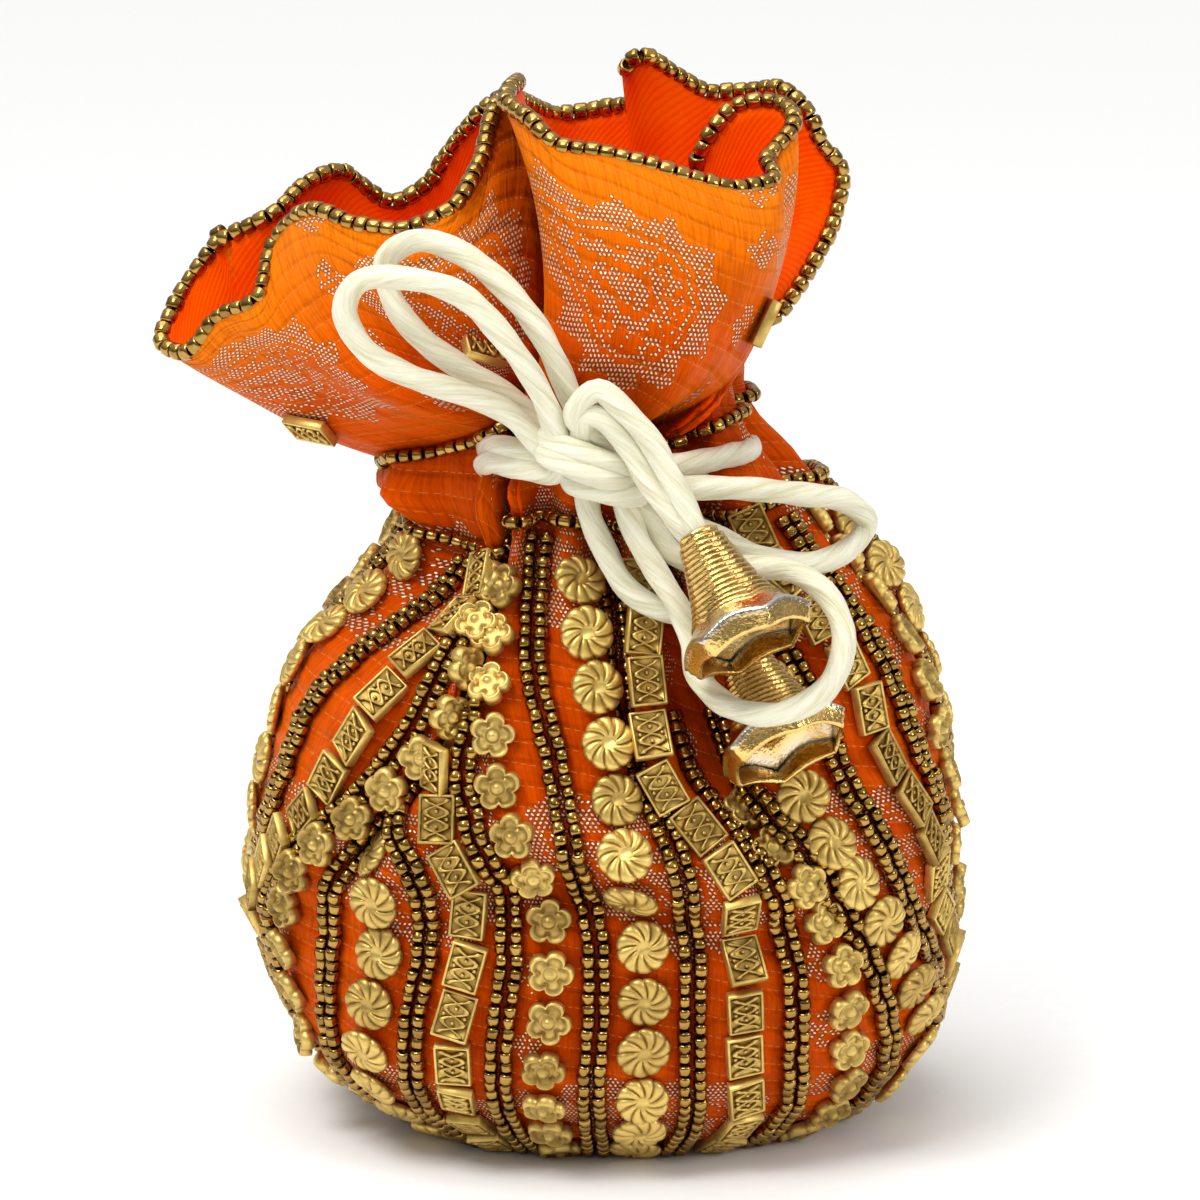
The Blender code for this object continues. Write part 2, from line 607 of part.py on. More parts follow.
def cord_tube(name, points):
    """A cord run as a filled tube on a poly curve, turned into a mesh object."""
    route = smooth_route(points, CORD_DIAMETER * 1.7)
    curve = bpy.data.curves.new(name, "CURVE")
    curve.dimensions = "3D"
    curve.bevel_depth = CORD_DIAMETER / 2.0 * MM
    curve.bevel_resolution = 2
    curve.use_fill_caps = True
    spline = curve.splines.new("POLY")
    spline.points.add(len(route) - 1)
    for point, place in zip(spline.points, route):
        point.co = (*(place * MM), 1.0)
    obj = bpy.data.objects.new(name, curve)
    bpy.context.scene.collection.objects.link(obj)
    bpy.context.view_layer.update()
    mesh = bpy.data.meshes.new_from_object(obj.evaluated_get(bpy.context.evaluated_depsgraph_get()))
    bpy.data.objects.remove(obj, do_unlink=True)
    bm = bmesh.new()
    bm.from_mesh(mesh)
    bmesh.ops.remove_doubles(bm, verts=bm.verts, dist=0.00001)
    bmesh.ops.recalc_face_normals(bm, faces=bm.faces)
    bm.to_mesh(mesh)
    bm.free()
    made = bpy.data.objects.new(name, mesh)
    bpy.context.scene.collection.objects.link(made)
    return made


def knot_half(name, side):
    """Half of the knot, cut from an ellipsoid on the -X or +X side of its middle."""
    bm = bmesh.new()
    bmesh.ops.create_uvsphere(bm, u_segments=12, v_segments=8, radius=1.0)
    turn = Matrix.Rotation(math.radians(90.0), 4, "Y") @ Matrix.Rotation(math.radians(15.0), 4, "Z")
    shape = Matrix.Translation(Vector(KNOT_CENTRE) * MM) @ Matrix.Diagonal(
        [r * MM for r in KNOT_RADII] + [1.0])
    bmesh.ops.transform(bm, matrix=shape @ turn, verts=bm.verts)
    cut = Vector(KNOT_CENTRE) * MM + Vector((side * TOUCH_GAP / 2.0 * MM, 0, 0))
    geometry = bm.verts[:] + bm.edges[:] + bm.faces[:]
    outward = Vector((-side, 0, 0))
    bmesh.ops.bisect_plane(bm, geom=geometry, plane_co=cut, plane_no=outward, clear_outer=True)
    bmesh.ops.holes_fill(bm, edges=[e for e in bm.edges if e.is_boundary], sides=0)
    bmesh.ops.recalc_face_normals(bm, faces=bm.faces)
    mesh = bpy.data.meshes.new(name)
    bm.to_mesh(mesh)
    bm.free()
    obj = bpy.data.objects.new(name, mesh)
    bpy.context.scene.collection.objects.link(obj)
    return obj


def make_cord(name, runs, side):
    """One drawstring: its runs joined to its half of the knot as one body."""
    body = knot_half(name, side)
    for number, run in enumerate(runs):
        tube = cord_tube(f"{name}_run_{number}", run)
        union = body.modifiers.new("join", "BOOLEAN")
        union.operation = "UNION"
        union.solver = "EXACT"
        union.use_self = True
        union.object = tube
        bpy.context.view_layer.update()
        graph = bpy.context.evaluated_depsgraph_get()
        mesh = bpy.data.meshes.new_from_object(body.evaluated_get(graph))
        body.modifiers.clear()
        body.data = mesh
        bpy.data.objects.remove(tube, do_unlink=True)
    body.name = name
    body.data.materials.clear()
    body.data.materials.append(material(name, CREAM, 0.5))
    return body


def make_bell(name, ends):
    """A hollow flared bell cap on the end of a cord, neck closed and mouth open."""
    neck, mouth = Vector(ends[0]), Vector(ends[1])
    axis = (mouth - neck).normalized()
    start = mouth - axis * BELL_LENGTH
    profile = [(t * BELL_LENGTH, r * BELL_MOUTH_RADIUS) for t, r in BELL_OUTSIDE]
    profile += [(t * BELL_LENGTH, r * BELL_MOUTH_RADIUS - BELL_WALL) for t, r in BELL_INSIDE]
    side = axis.orthogonal().normalized()
    other = axis.cross(side)
    count = BELL_SEGMENTS
    verts, faces = [], []
    for distance, radius in profile:
        for s in range(count):
            turn = 2.0 * math.pi * s / count
            verts.append(start + axis * distance + side * (radius * math.cos(turn))
                         + other * (radius * math.sin(turn)))
    for r in range(len(profile) - 1):
        for s in range(count):
            t = (s + 1) % count
            faces.append((r * count + s, r * count + t, (r + 1) * count + t, (r + 1) * count + s))
    last = (len(profile) - 1) * count
    faces += [tuple(range(count)), tuple(range(last, last + count))]
    return add_mesh(name, verts, faces, SHINY_GOLD, 0.25, 1.0)


def main():
    """Build every sub-part of the pouch."""
    clear_scene()
    bpy.context.scene.unit_settings.system = "METRIC"
    rows = cloth_rows()
    norms = normals(rows)
    make_base(rows)
    make_shell(rows, norms)
    make_lining(rows, norms)
    make_strips(rows)
    make_casing_row("lower_casing_bead_row", rows, LOWER_CASING_LEVEL)
    make_casing_row("upper_casing_bead_row", rows, UPPER_CASING_LEVEL)
    make_rim_strand(rows, norms)
    make_collar_tiles(rows)
    make_cord("left_cord", LEFT_RUNS, -1)
    make_cord("right_cord", RIGHT_RUNS, 1)
    make_bell("bell_cap_front", BELL_ONE)
    make_bell("bell_cap_rear", BELL_TWO)


if __name__ == "__main__":
    main()
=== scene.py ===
"""Looks of the beaded drawstring pouch: cloth, lining, sewn beads, cords, bell caps and studio.

Every size is in millimetres until it becomes a mesh, and Z is up. Strip places run round the pouch
from 0 to 21, one for each motif strip, and rise from left to right across the front.
"""
from __future__ import annotations

import logging
import math
import random
from dataclasses import dataclass, field
from enum import Enum
from functools import partial
from typing import Callable, Iterable, Optional, Sequence

import bpy
import numpy as np
from mathutils import Matrix, Vector


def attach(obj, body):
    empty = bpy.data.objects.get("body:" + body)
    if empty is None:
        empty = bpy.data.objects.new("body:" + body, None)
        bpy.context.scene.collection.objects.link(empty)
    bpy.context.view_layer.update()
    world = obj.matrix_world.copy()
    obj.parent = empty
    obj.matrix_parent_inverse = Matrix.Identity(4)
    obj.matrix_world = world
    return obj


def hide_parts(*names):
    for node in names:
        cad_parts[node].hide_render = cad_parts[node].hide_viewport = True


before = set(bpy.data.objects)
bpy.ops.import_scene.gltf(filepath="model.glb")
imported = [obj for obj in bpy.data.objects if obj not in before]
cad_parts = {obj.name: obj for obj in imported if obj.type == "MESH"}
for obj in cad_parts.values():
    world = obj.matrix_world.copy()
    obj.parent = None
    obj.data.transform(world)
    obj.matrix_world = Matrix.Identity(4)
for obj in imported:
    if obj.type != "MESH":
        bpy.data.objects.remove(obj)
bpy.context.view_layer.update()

log = logging.getLogger("pouch")

MM = 0.001
TURN = 2.0 * math.pi
STRIPS = 21
STRIP_PITCH = 20.5           # cloth from one motif strip to the next, along the belly
BODY = "root"
# Operations of a Math node
ADD, SUB, MUL, DIV, MULTIPLY_ADD = "ADD", "SUBTRACT", "MULTIPLY", "DIVIDE", "MULTIPLY_ADD"
MORE, LESS, LARGEST = "GREATER_THAN", "LESS_THAN", "MAXIMUM"
SIZE, FLOOR, FRACT, ROOT, POWER = "ABSOLUTE", "FLOOR", "FRACT", "SQRT", "POWER"

Formula = tuple                  # a Math operation and its inputs, which may be formulas too
Point = tuple[float, float, float]
Frame = tuple[np.ndarray, np.ndarray, np.ndarray, np.ndarray]    # place, across, up and out


# Small tools


def linear(hex_colour: str) -> tuple[float, float, float, float]:
    """Linear colour of an sRGB hex string.

    Args:
        hex_colour: six hex digits, red first.

    Returns:
        Red, green, blue and an alpha of one.
    """
    parts = [int(hex_colour[i:i + 2], 16) / 255.0 for i in (0, 2, 4)]
    return (*(c / 12.92 if c <= 0.04045 else ((c + 0.055) / 1.055) ** 2.4 for c in parts), 1.0)


def add_node(tree: bpy.types.NodeTree, kind: str | Formula, settings: Optional[dict] = None,
             inputs: Optional[dict] = None) -> bpy.types.Node:
    """Add a node with its settings and links.

    Args:
        tree: the material's node tree.
        kind: the node's type name, or a formula for a Math node and those under it.
        settings: properties of the node by name; "stops" fills a colour ramp.
        inputs: values by socket name or number; a socket, a node or a formula is linked.

    Returns:
        The new node.
    """
    if isinstance(kind, tuple):
        settings = {"operation": kind[0], **(settings or {})}
        inputs = dict(enumerate(kind[1:]))
        kind = "ShaderNodeMath"
    node = tree.nodes.new(kind)
    for name, value in (settings or {}).items():
        if name == "stops":
            ramp = node.color_ramp
            while len(ramp.elements) < len(value):
                ramp.elements.new(1.0)
            for element, (position, colour) in zip(ramp.elements, value):
                element.position = position
                element.color = colour
        else:
            setattr(node, name, value)
    for name, value in (inputs or {}).items():
        if isinstance(value, tuple) and isinstance(value[0], str):
            value = add_node(tree, value)
        if isinstance(value, bpy.types.Node):
            value = value.outputs[0]
        if isinstance(value, bpy.types.NodeSocket):
            tree.links.new(value, node.inputs[name])
        else:
            node.inputs[name].default_value = value
    return node


def new_material(name: str) -> tuple[bpy.types.Material, bpy.types.NodeTree]:
    """An empty node material.

    Args:
        name: the material's name.

    Returns:
        The material and its node tree.
    """
    material = bpy.data.materials.new(name)
    material.use_nodes = True
    material.node_tree.nodes.clear()
    return material, material.node_tree


def hermite(t: np.ndarray, step: np.ndarray, ends: Sequence[np.ndarray],
            slopes: Sequence[np.ndarray]) -> np.ndarray:
    """Cubic between two keys.

    Args:
        t: how far along, from 0 to 1.
        step: distance between the keys.
        ends: the values at both keys.
        slopes: the slopes at both keys.

    Returns:
        The values along it.
    """
    return ((2 * t ** 3 - 3 * t ** 2 + 1) * ends[0] + (t ** 3 - 2 * t ** 2 + t) * step * slopes[0]
            + (3 * t ** 2 - 2 * t ** 3) * ends[1] + (t ** 3 - t ** 2) * step * slopes[1])


def smooth_keys(keys: Sequence[float], values: Sequence[float],
                where: np.ndarray | float) -> np.ndarray:
    """Monotone smooth curve through keys.

    Args:
        keys: rising positions.
        values: the value at each key.
        where: positions wanted.

    Returns:
        The values there, held at the ends.
    """
    x, y = np.asarray(keys, float), np.asarray(values, float)
    steps = np.diff(x)
    slope = np.diff(y) / steps
    left, right = slope[:-1], slope[1:]
    w1, w2 = 2 * steps[1:] + steps[:-1], steps[1:] + 2 * steps[:-1]
    same = left * right > 0
    safe_left, safe_right = np.where(same, left, 1.0), np.where(same, right, 1.0)
    inner = np.where(same, (w1 + w2) / (w1 / safe_left + w2 / safe_right), 0.0)
    m = np.concatenate([[slope[0]], inner, [slope[-1]]])
    at = np.clip(where, x[0], x[-1])
    k = np.clip(np.searchsorted(x, at, side="right") - 1, 0, len(x) - 2)
    return hermite((at - x[k]) / steps[k], steps[k], (y[k], y[k + 1]), (m[k], m[k + 1]))


def round_curve(keys: np.ndarray, points: np.ndarray, where: np.ndarray) -> np.ndarray:
    """Smooth curve through points with uneven keys.

    Args:
        keys: rising key of each point.
        points: one row for each key.
        where: keys wanted, inside the first and last but one.

    Returns:
        One row for each wanted key.
    """
    steps = np.diff(keys)[:, None]
    slope = np.diff(points, axis=0) / steps
    inner = (slope[:-1] * steps[1:] + slope[1:] * steps[:-1]) / (steps[1:] + steps[:-1])
    m = np.concatenate([slope[:1], inner, slope[-1:]])
    k = np.clip(np.searchsorted(keys, where, side="right") - 1, 0, len(keys) - 2)
    return hermite((where - keys[k])[:, None] / steps[k], steps[k], (points[k], points[k + 1]),
                   (m[k], m[k + 1]))


def distances(line: np.ndarray) -> np.ndarray:
    """Distance of each point of a line from its first, along the line."""
    return np.concatenate([[0.0], np.cumsum(np.linalg.norm(np.diff(line, axis=0), axis=1))])


def even_points(line: np.ndarray, spacing: float, closed: bool = False) -> np.ndarray:
    """Points at an even spacing along a line.

    Args:
        line: the line's points.
        spacing: wanted distance, changed a little so that it fits.
        closed: whether the line ends where it starts.

    Returns:
        The points; a closed line doesn't repeat its first.
    """
    if closed:
        line = np.vstack([line, line[:1]])
    arc = distances(line)
    count = max(2, round(arc[-1] / spacing))
    wanted = np.linspace(0.0, arc[-1], count + 1)
    out = np.stack([np.interp(wanted, arc, line[:, axis]) for axis in range(3)], axis=1)
    return out[:-1] if closed else out


def unit(vectors: np.ndarray) -> np.ndarray:
    """Vectors of length one along the last axis."""
    return vectors / np.maximum(np.linalg.norm(vectors, axis=-1, keepdims=True), 1e-9)


def mesh_object(name: str, verts: np.ndarray, faces: Iterable[Sequence[int]],
                smooth: bool = True) -> bpy.types.Object:
    """A mesh object at the origin.

    Args:
        name: the object's name.
        verts: points in millimetres.
        faces: corner numbers of each face.
        smooth: whether the faces are shaded smooth.

    Returns:
        The object, linked to the scene.
    """
    mesh = bpy.data.meshes.new(name)
    mesh.from_pydata((np.asarray(verts) * MM).tolist(), [], [tuple(f) for f in faces])
    mesh.validate()
    if smooth:
        mesh.polygons.foreach_set("use_smooth", np.ones(len(mesh.polygons), bool))
    obj = bpy.data.objects.new(name, mesh)
    bpy.context.scene.collection.objects.link(obj)
    return obj


def ring_faces(first: int, count: int, rings: int) -> list[tuple[int, ...]]:
    """Four-cornered faces between rings of points.

    Args:
        first: number of the first ring's first point.
        count: points in each ring.
        rings: number of rings.

    Returns:
        The faces, ring by ring.
    """
    faces = []
    for low in range(first, first + (rings - 1) * count, count):
        faces += [(low + i, low + (i + 1) % count, low + count + (i + 1) % count, low + count + i)
                  for i in range(count)]
    return faces


def pick(obj: bpy.types.Object) -> None:
    """Make obj the only selected and the active object."""
    bpy.ops.object.select_all(action="DESELECT")
    obj.select_set(True)
    bpy.context.view_layer.objects.active = obj


def settle(obj: bpy.types.Object) -> None:
    """Put the object's place, turn and size into its mesh."""
    pick(obj)
    bpy.ops.object.transform_apply(location=True, rotation=True, scale=True)


def apply_modifier(obj: bpy.types.Object, kind: str, **settings: object) -> None:
    """Add a modifier with its settings and apply it.

    Args:
        obj: the object.
        kind: the modifier's type.
        settings: its properties by name.
    """
    modifier = obj.modifiers.new(kind.lower(), kind)
    for name, value in settings.items():
        setattr(modifier, name, value)
    pick(obj)
    bpy.ops.object.modifier_apply(modifier=modifier.name)


def select_faces(obj: bpy.types.Object, wanted: Callable[[bpy.types.MeshPolygon], bool]) -> None:
    """In edit mode, select the faces that a test picks.

    Args:
        obj: the object, left in edit mode.
        wanted: takes a face and says whether it is picked.
    """
    pick(obj)
    bpy.ops.object.mode_set(mode="EDIT")
    bpy.ops.mesh.select_mode(type="FACE")
    bpy.ops.mesh.select_all(action="DESELECT")
    bpy.ops.object.mode_set(mode="OBJECT")
    for polygon in obj.data.polygons:
        polygon.select = bool(wanted(polygon))
    bpy.ops.object.mode_set(mode="EDIT")


def join(objects: Sequence[bpy.types.Object], name: str) -> bpy.types.Object:
    """Join objects into the first one.

    Args:
        objects: the objects.
        name: the joined object's name.

    Returns:
        The joined object.
    """
    bpy.ops.object.select_all(action="DESELECT")
    for obj in objects:
        obj.select_set(True)
    bpy.context.view_layer.objects.active = objects[0]
    bpy.ops.object.join()
    objects[0].name = name
    return objects[0]


def dress(obj: bpy.types.Object, material: bpy.types.Material, slot: str, *nodes: str) -> None:
    """Give a finished piece its material and body, and hide the CAD nodes it stands for.

    Args:
        obj: the piece.
        material: its finish.
        slot: not used.
        nodes: CAD nodes it replaces.
    """
    obj.data.materials.clear()
    obj.data.materials.append(material)
    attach(obj, BODY)
    if nodes:
        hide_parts(*nodes)
    log.info("%s: %d faces", obj.name, len(obj.data.polygons))


# Finishes


@dataclass(frozen=True)
class Brocade:
    """Quilted silk-blend brocade: a softly shining orange ground with paisleys of silver dots."""

    ground: str = "DA5002"
    painted_rim_light: str = "F2800A"       # painted light: the cloth is made paler and yellower toward the rim
    # painted shade, laid into the creases
    shade: str = "A22A00"
    gloss: str = "FF9C14"
    glint: str = "FF7000"
    hollow_shade: str = "A02A00"
    hollow_reach: float = 12.0       # cloth nearer than this to other cloth gets painted shade
    silver: str = "FADFC4"
    thread_shadow: str = "5A2200"
    stitch: str = "D07838"
    repeat_across: float = 61.5      # one paisley to the next, three strips
    repeat_up: float = 66.0
    first_across: float = 149.5      # cloth place of the front paisley's middle
    first_up: float = 35.0
    cell: float = 1.02               # woven dot to dot
    cell_height: float = 0.86        # of its width
    dot_half_width: float = 0.29     # of a cell
    dot_half_height: float = 0.37
    cluster_gap: float = 16.5        # one small cluster to the next between the paisleys
    quilt_gap: float = 4.7
    quilt_slope: float = 0.26
    stitch_gap: float = 1.5
    stitch_length: float = 0.6       # of the gap
    thread_half: float = 0.09
    rib: float = 0.5                 # fine ribs; real ones are finer and wouldn't show
    lean: float = 150.0              # direction of the paisley's tip, degrees from across
    spike: float = 4.2               # how far the fringe's spikes stand out
    spikes: float = 1.75             # spikes for each radian

    def make(self) -> bpy.types.Material:
        """Build the material.

        Returns:
            The material.
        """
        material, tree = new_material("silk brocade, quilted")
        node = partial(add_node, tree)
        flat = {"noise_dimensions": "2D"}
        uv = node("ShaderNodeUVMap", {"uv_map": "cloth_mm"})
        axes = node("ShaderNodeSeparateXYZ", None, {0: uv})
        across, up = axes.outputs[0], axes.outputs[1]
        dot, woven = self.weave(tree, uv, across, up)
        inside = node((MUL, node("ShaderNodeMapRange", None, {
            0: dot, 1: 0.7, 2: 1.05, 3: 1.0, 4: 0.0}), woven))
        shadow = node((MUL, node("ShaderNodeMapRange", None, {
            0: dot, 1: 1.0, 2: 1.8, 3: 0.8, 4: 0.1}), woven))
        # Wavy lines of quilting stitches, each in a soft groove
        wave = (MUL, ("SINE", (DIV, across, 13.0)), 0.7)
        sloped = (MULTIPLY_ADD, across, self.quilt_slope, up)
        quilt = node((DIV, (ADD, sloped, wave), self.quilt_gap))
        from_line = node((MUL, (SIZE, (SUB, (FRACT, quilt), 0.5)), self.quilt_gap))
        staggered = (ADD, (DIV, across, self.stitch_gap), (MUL, (FLOOR, quilt), 0.37))
        stitches = (LESS, (FRACT, staggered), self.stitch_length)
        thread = node((MUL, (LESS, from_line, self.thread_half), stitches))
        groove = node("ShaderNodeMapRange", {"interpolation_type": "SMOOTHERSTEP"}, {
            0: from_line, 1: 0.0, 2: 1.7, 3: 0.0, 4: 1.0})
        # Ribs and soft creases
        fine = node("ShaderNodeMapping", None, {0: uv, "Scale": (1.0 / self.rib, 0.10, 1.0)})
        ribs = node("ShaderNodeTexNoise", flat, {
            0: fine, "Scale": 1.0, "Detail": 2.0, "Roughness": 0.6})
        long = node("ShaderNodeMapping", None, {0: uv, "Scale": (0.13, 0.07, 1.0)})
        crease = node("ShaderNodeTexNoise", flat, {
            0: long, "Scale": 1.0, "Detail": 3.0, "Distortion": 0.8})
        # Colours, each laid over the ones before: painted shade in creases, painted light toward
        # the rim, ribs, painted shade in hollows, painted thread shadow, stitches and silver dots
        # Painted shade where the crease noise is deep
        crease_shade_share = node("ShaderNodeMapRange", None, {0: crease, 1: 0.40, 2: 0.75, 3: 0.0, 4: 0.5})
        # Painted light: toward the rim the colour turns paler and yellower
        near_rim = node("ShaderNodeMapRange", {"interpolation_type": "SMOOTHSTEP"}, {
            0: up, 1: 18.0, 2: 62.0, 3: 0.0, 4: 0.75})
        rib_tone = node("ShaderNodeValToRGB", {"stops": [
            (0.30, (0.80, 0.74, 0.74, 1.0)), (0.62, (1.06, 1.10, 1.10, 1.0))]}, {0: ribs})
        # Painted shade in hollows, where other surfaces are near
        near = node("ShaderNodeAmbientOcclusion", {"samples": 4}, {
            "Distance": self.hollow_reach * MM})
        hollow_shade = node("ShaderNodeMapRange", None, {
            0: near.outputs["AO"], 1: 0.3, 2: 0.9, 3: 0.75, 4: 0.0})
        colour = linear(self.ground)
        for blend, share, over in (
                ("MIX", crease_shade_share, linear(self.shade)), ("MIX", near_rim, linear(self.painted_rim_light)),
                ("MULTIPLY", 1.0, rib_tone), ("MIX", hollow_shade, linear(self.hollow_shade)),
                ("MIX", shadow, linear(self.thread_shadow)), ("MIX", thread, linear(self.stitch)),
                ("MIX", inside, linear(self.silver))):
            colour = node("ShaderNodeMix", {"data_type": "RGBA", "blend_type": blend}, {
                0: share, 6: colour, 7: over}).outputs[2]
        height = (ADD, (MUL, inside, 0.14),
                  (ADD, (MUL, ribs, 0.08), (ADD, (MUL, groove, 0.40), (MUL, crease, 1.8))))
        bump = node("ShaderNodeBump", None, {"Strength": 0.9, "Distance": MM, "Height": height})
        shader = node("ShaderNodeBsdfPrincipled", None, {
            "Base Color": colour, "Metallic": (MUL, inside, 0.4),
            "Roughness": (MULTIPLY_ADD, inside, -0.15, 0.52), "Specular IOR Level": 0.1,
            "Specular Tint": linear(self.glint), "Sheen Weight": 0.32, "Sheen Roughness": 0.5,
            "Sheen Tint": linear(self.gloss), "Normal": bump})
        node("ShaderNodeOutputMaterial", None, {0: shader})
        return material

    def weave(self, tree: bpy.types.NodeTree, uv: bpy.types.Node, across: bpy.types.NodeSocket,
              up: bpy.types.NodeSocket) -> tuple[bpy.types.Node, bpy.types.Node]:
        """The woven silver dots.

        Args:
            tree: the material's node tree.
            uv: place on the cloth.
            across: its first part.
            up: its second part.

        Returns:
            Distance from the dot's middle, 1 at its edge, and whether the cell's dot is woven.
        """
        node = partial(add_node, tree)
        # Woven cells in brick order
        tall = self.cell * self.cell_height
        row_place = node((DIV, up, tall))
        row = node((FLOOR, row_place))
        odd = node((MUL, ("MODULO", (SIZE, row), 2.0), 0.5))
        column_place = node((ADD, (DIV, across, self.cell), odd))
        column = node((FLOOR, column_place))
        in_x = (SUB, (FRACT, column_place), 0.5)
        in_y = node((SUB, (FRACT, row_place), 0.5))
        cell_x = (MUL, (SUB, (ADD, column, 0.5), odd), self.cell)
        cell_y = (MUL, (ADD, row, 0.5), tall)
        number = node("ShaderNodeCombineXYZ", None, {0: column, 1: row})
        chance = node("ShaderNodeTexWhiteNoise", {"noise_dimensions": "2D"}, {0: number})
        # Place inside one repeat, its middle at zero
        repeats = []
        for place, first, repeat in ((cell_x, self.first_across, self.repeat_across),
                                     (cell_y, self.first_up, self.repeat_up)):
            turned = (ADD, (DIV, (SUB, place, first), repeat), 50.5)
            repeats.append(node((MUL, (SUB, (FRACT, turned), 0.5), repeat)))
        px, py = repeats
        outer, dense, line, motifs = self.paisley(tree, uv, px, py)
        # Small clusters between the paisleys
        beside = (SIZE, (SUB, (SIZE, px), self.repeat_across / 2.0))
        above = (MUL, (SUB, (FRACT, (DIV, py, self.cluster_gap)), 0.5), self.cluster_gap)
        cluster = (ADD, beside, (MUL, (SIZE, above), 0.8))
        small = (MUL, (LESS, cluster, 4.2), (MORE, outer, 6.0))
        woven = node((LARGEST, (LARGEST, (MUL, dense, (LESS, chance, 0.94)), line),
                      (MUL, (LARGEST, motifs, small), (LESS, chance, 0.72))))
        # One dot in its cell, drawn out one way or the other
        lean = (SUB, (MUL, (MORE, (FRACT, (MUL, chance, 7.0)), 0.4), 0.7), 0.35)
        dot_x = (ADD, in_x, (MUL, in_y, lean))
        dot = node((ROOT, (ADD, (POWER, (DIV, (SIZE, dot_x), self.dot_half_width), 2.0),
                           (POWER, (DIV, (SIZE, in_y), self.dot_half_height), 2.0))))
        return dot, woven

    def paisley(self, tree: bpy.types.NodeTree, uv: bpy.types.Node, px: bpy.types.Node,
                py: bpy.types.Node) -> tuple[bpy.types.Node, Formula, Formula, Formula]:
        """One paisley: teardrops inside each other, round end low right and tip up left.

        Args:
            tree: the material's node tree.
            uv: place on the cloth.
            px: place across the repeat.
            py: place up the repeat.

        Returns:
            Distance outside the largest teardrop; whether the place is in its dense parts, on its
            line, and in the loose ring of motifs inside the line.
        """
        node = partial(add_node, tree)

        def between(value: bpy.types.Node, low: float, high: float) -> Formula:
            return (MUL, (MORE, value, low), (LESS, value, high))

        def drop(along: bpy.types.Node, round_end: float, tip: float,
                 long: float) -> bpy.types.Node:
            # Distance from a teardrop's edge: two circles and the lines that touch both
            slope = (round_end - tip) / long
            flank = math.sqrt(1.0 - slope * slope)
            part = node((MULTIPLY_ADD, side, -slope / (flank * long), (MUL, along, 1.0 / long)),
                        {"use_clamp": True})
            off = node((SUB, along, (MUL, part, long)))
            far = (ROOT, (ADD, (MUL, off, off), (MUL, side, side)))
            return node((SUB, far, (MULTIPLY_ADD, part, tip - round_end, round_end)))

        wobble, grains = (
            node("ShaderNodeTexNoise", {"noise_dimensions": "2D"}, {
                0: uv, "Scale": scale, "Detail": detail})
            for scale, detail in ((0.16, 2.0), (0.42, 1.0)))
        shift = node((MULTIPLY_ADD, wobble, 5.0, -2.5))
        ox = node((ADD, (SUB, px, 4.5), shift))
        oy = node((ADD, (ADD, py, 4.0), (MUL, shift, -0.7)))
        tip_x, tip_y = math.cos(math.radians(self.lean)), math.sin(math.radians(self.lean))
        along = node((ADD, (MUL, ox, tip_x), (MUL, oy, tip_y)))
        side = node((SIZE, (SUB, (MUL, ox, tip_y), (MUL, oy, tip_x))))
        outer = drop(along, 11.2, 1.2, 26.0)
        middle = drop(node((SUB, along, 0.5)), 5.4, 0.8, 19.0)
        inner = drop(node((SUB, along, 0.2)), 2.4, 0.5, 10.0)
        teeth = ("PINGPONG", (MUL, ("ARCTAN2", side, along), self.spikes), 0.5)
        edge = (MULTIPLY_ADD, teeth, self.spike * 2.0, 4.0)
        fringe = (MUL, (MORE, outer, 1.4), (LESS, outer, edge))
        dense = (LARGEST, (LARGEST, fringe, between(middle, -0.9, 1.1)), (LESS, inner, 0.5))
        motifs = (MUL, between(outer, -4.6, -1.3), (MORE, grains, 0.49))
        return outer, dense, between(outer, -0.5, 0.5), motifs


@dataclass(frozen=True)
class Satin:
    """Plain satin lining: orange-red, with a fine twill line and a soft streaky gloss painted into
    its colour.
    """

    colour: str = "FF5A00"
    # darker colour of the painted gloss streaks
    deep: str = "F83400"
    glint: str = "FF7000"
    twill: float = 0.7               # drawn coarser than the real threads so that it shows

    def make(self) -> bpy.types.Material:
        """Build the material.

        Returns:
            The material.
        """
        material, tree = new_material("polyester satin, woven")
        node = partial(add_node, tree)
        uv = node("ShaderNodeUVMap", {"uv_map": "cloth_mm"})
        lines = node("ShaderNodeTexWave", {"bands_direction": "DIAGONAL"}, {
            0: uv, "Scale": 0.31 / self.twill, "Distortion": 1.2, "Detail": 2.0,
            "Detail Scale": 0.6})
        soft = node("ShaderNodeTexNoise", {"noise_dimensions": "2D"}, {
            0: uv, "Scale": 0.09, "Detail": 2.0})
        # Painted gloss: soft streaks of the darker colour
        colour = node("ShaderNodeMix", {"data_type": "RGBA"}, {
            0: node("ShaderNodeMapRange", None, {0: soft, 1: 0.35, 2: 0.7, 3: 0.0, 4: 0.6}),
            6: linear(self.colour), 7: linear(self.deep)})
        lined = node("ShaderNodeMix", {"data_type": "RGBA", "blend_type": "MULTIPLY"}, {
            0: 1.0, 6: colour.outputs[2], 7: node("ShaderNodeValToRGB", {"stops": [
                (0.0, (0.90, 0.86, 0.86, 1.0)), (0.7, (1.05, 1.05, 1.05, 1.0))]}, {0: lines})})
        bump = node("ShaderNodeBump", None, {
            "Strength": 0.35, "Distance": 0.2 * MM, "Height": lines})
        shader = node("ShaderNodeBsdfPrincipled", None, {
            "Base Color": lined.outputs[2], "Roughness": 0.46, "Specular IOR Level": 0.15,
            "Specular Tint": linear(self.glint), "Normal": bump})
        node("ShaderNodeOutputMaterial", None, {0: shader})
        return material


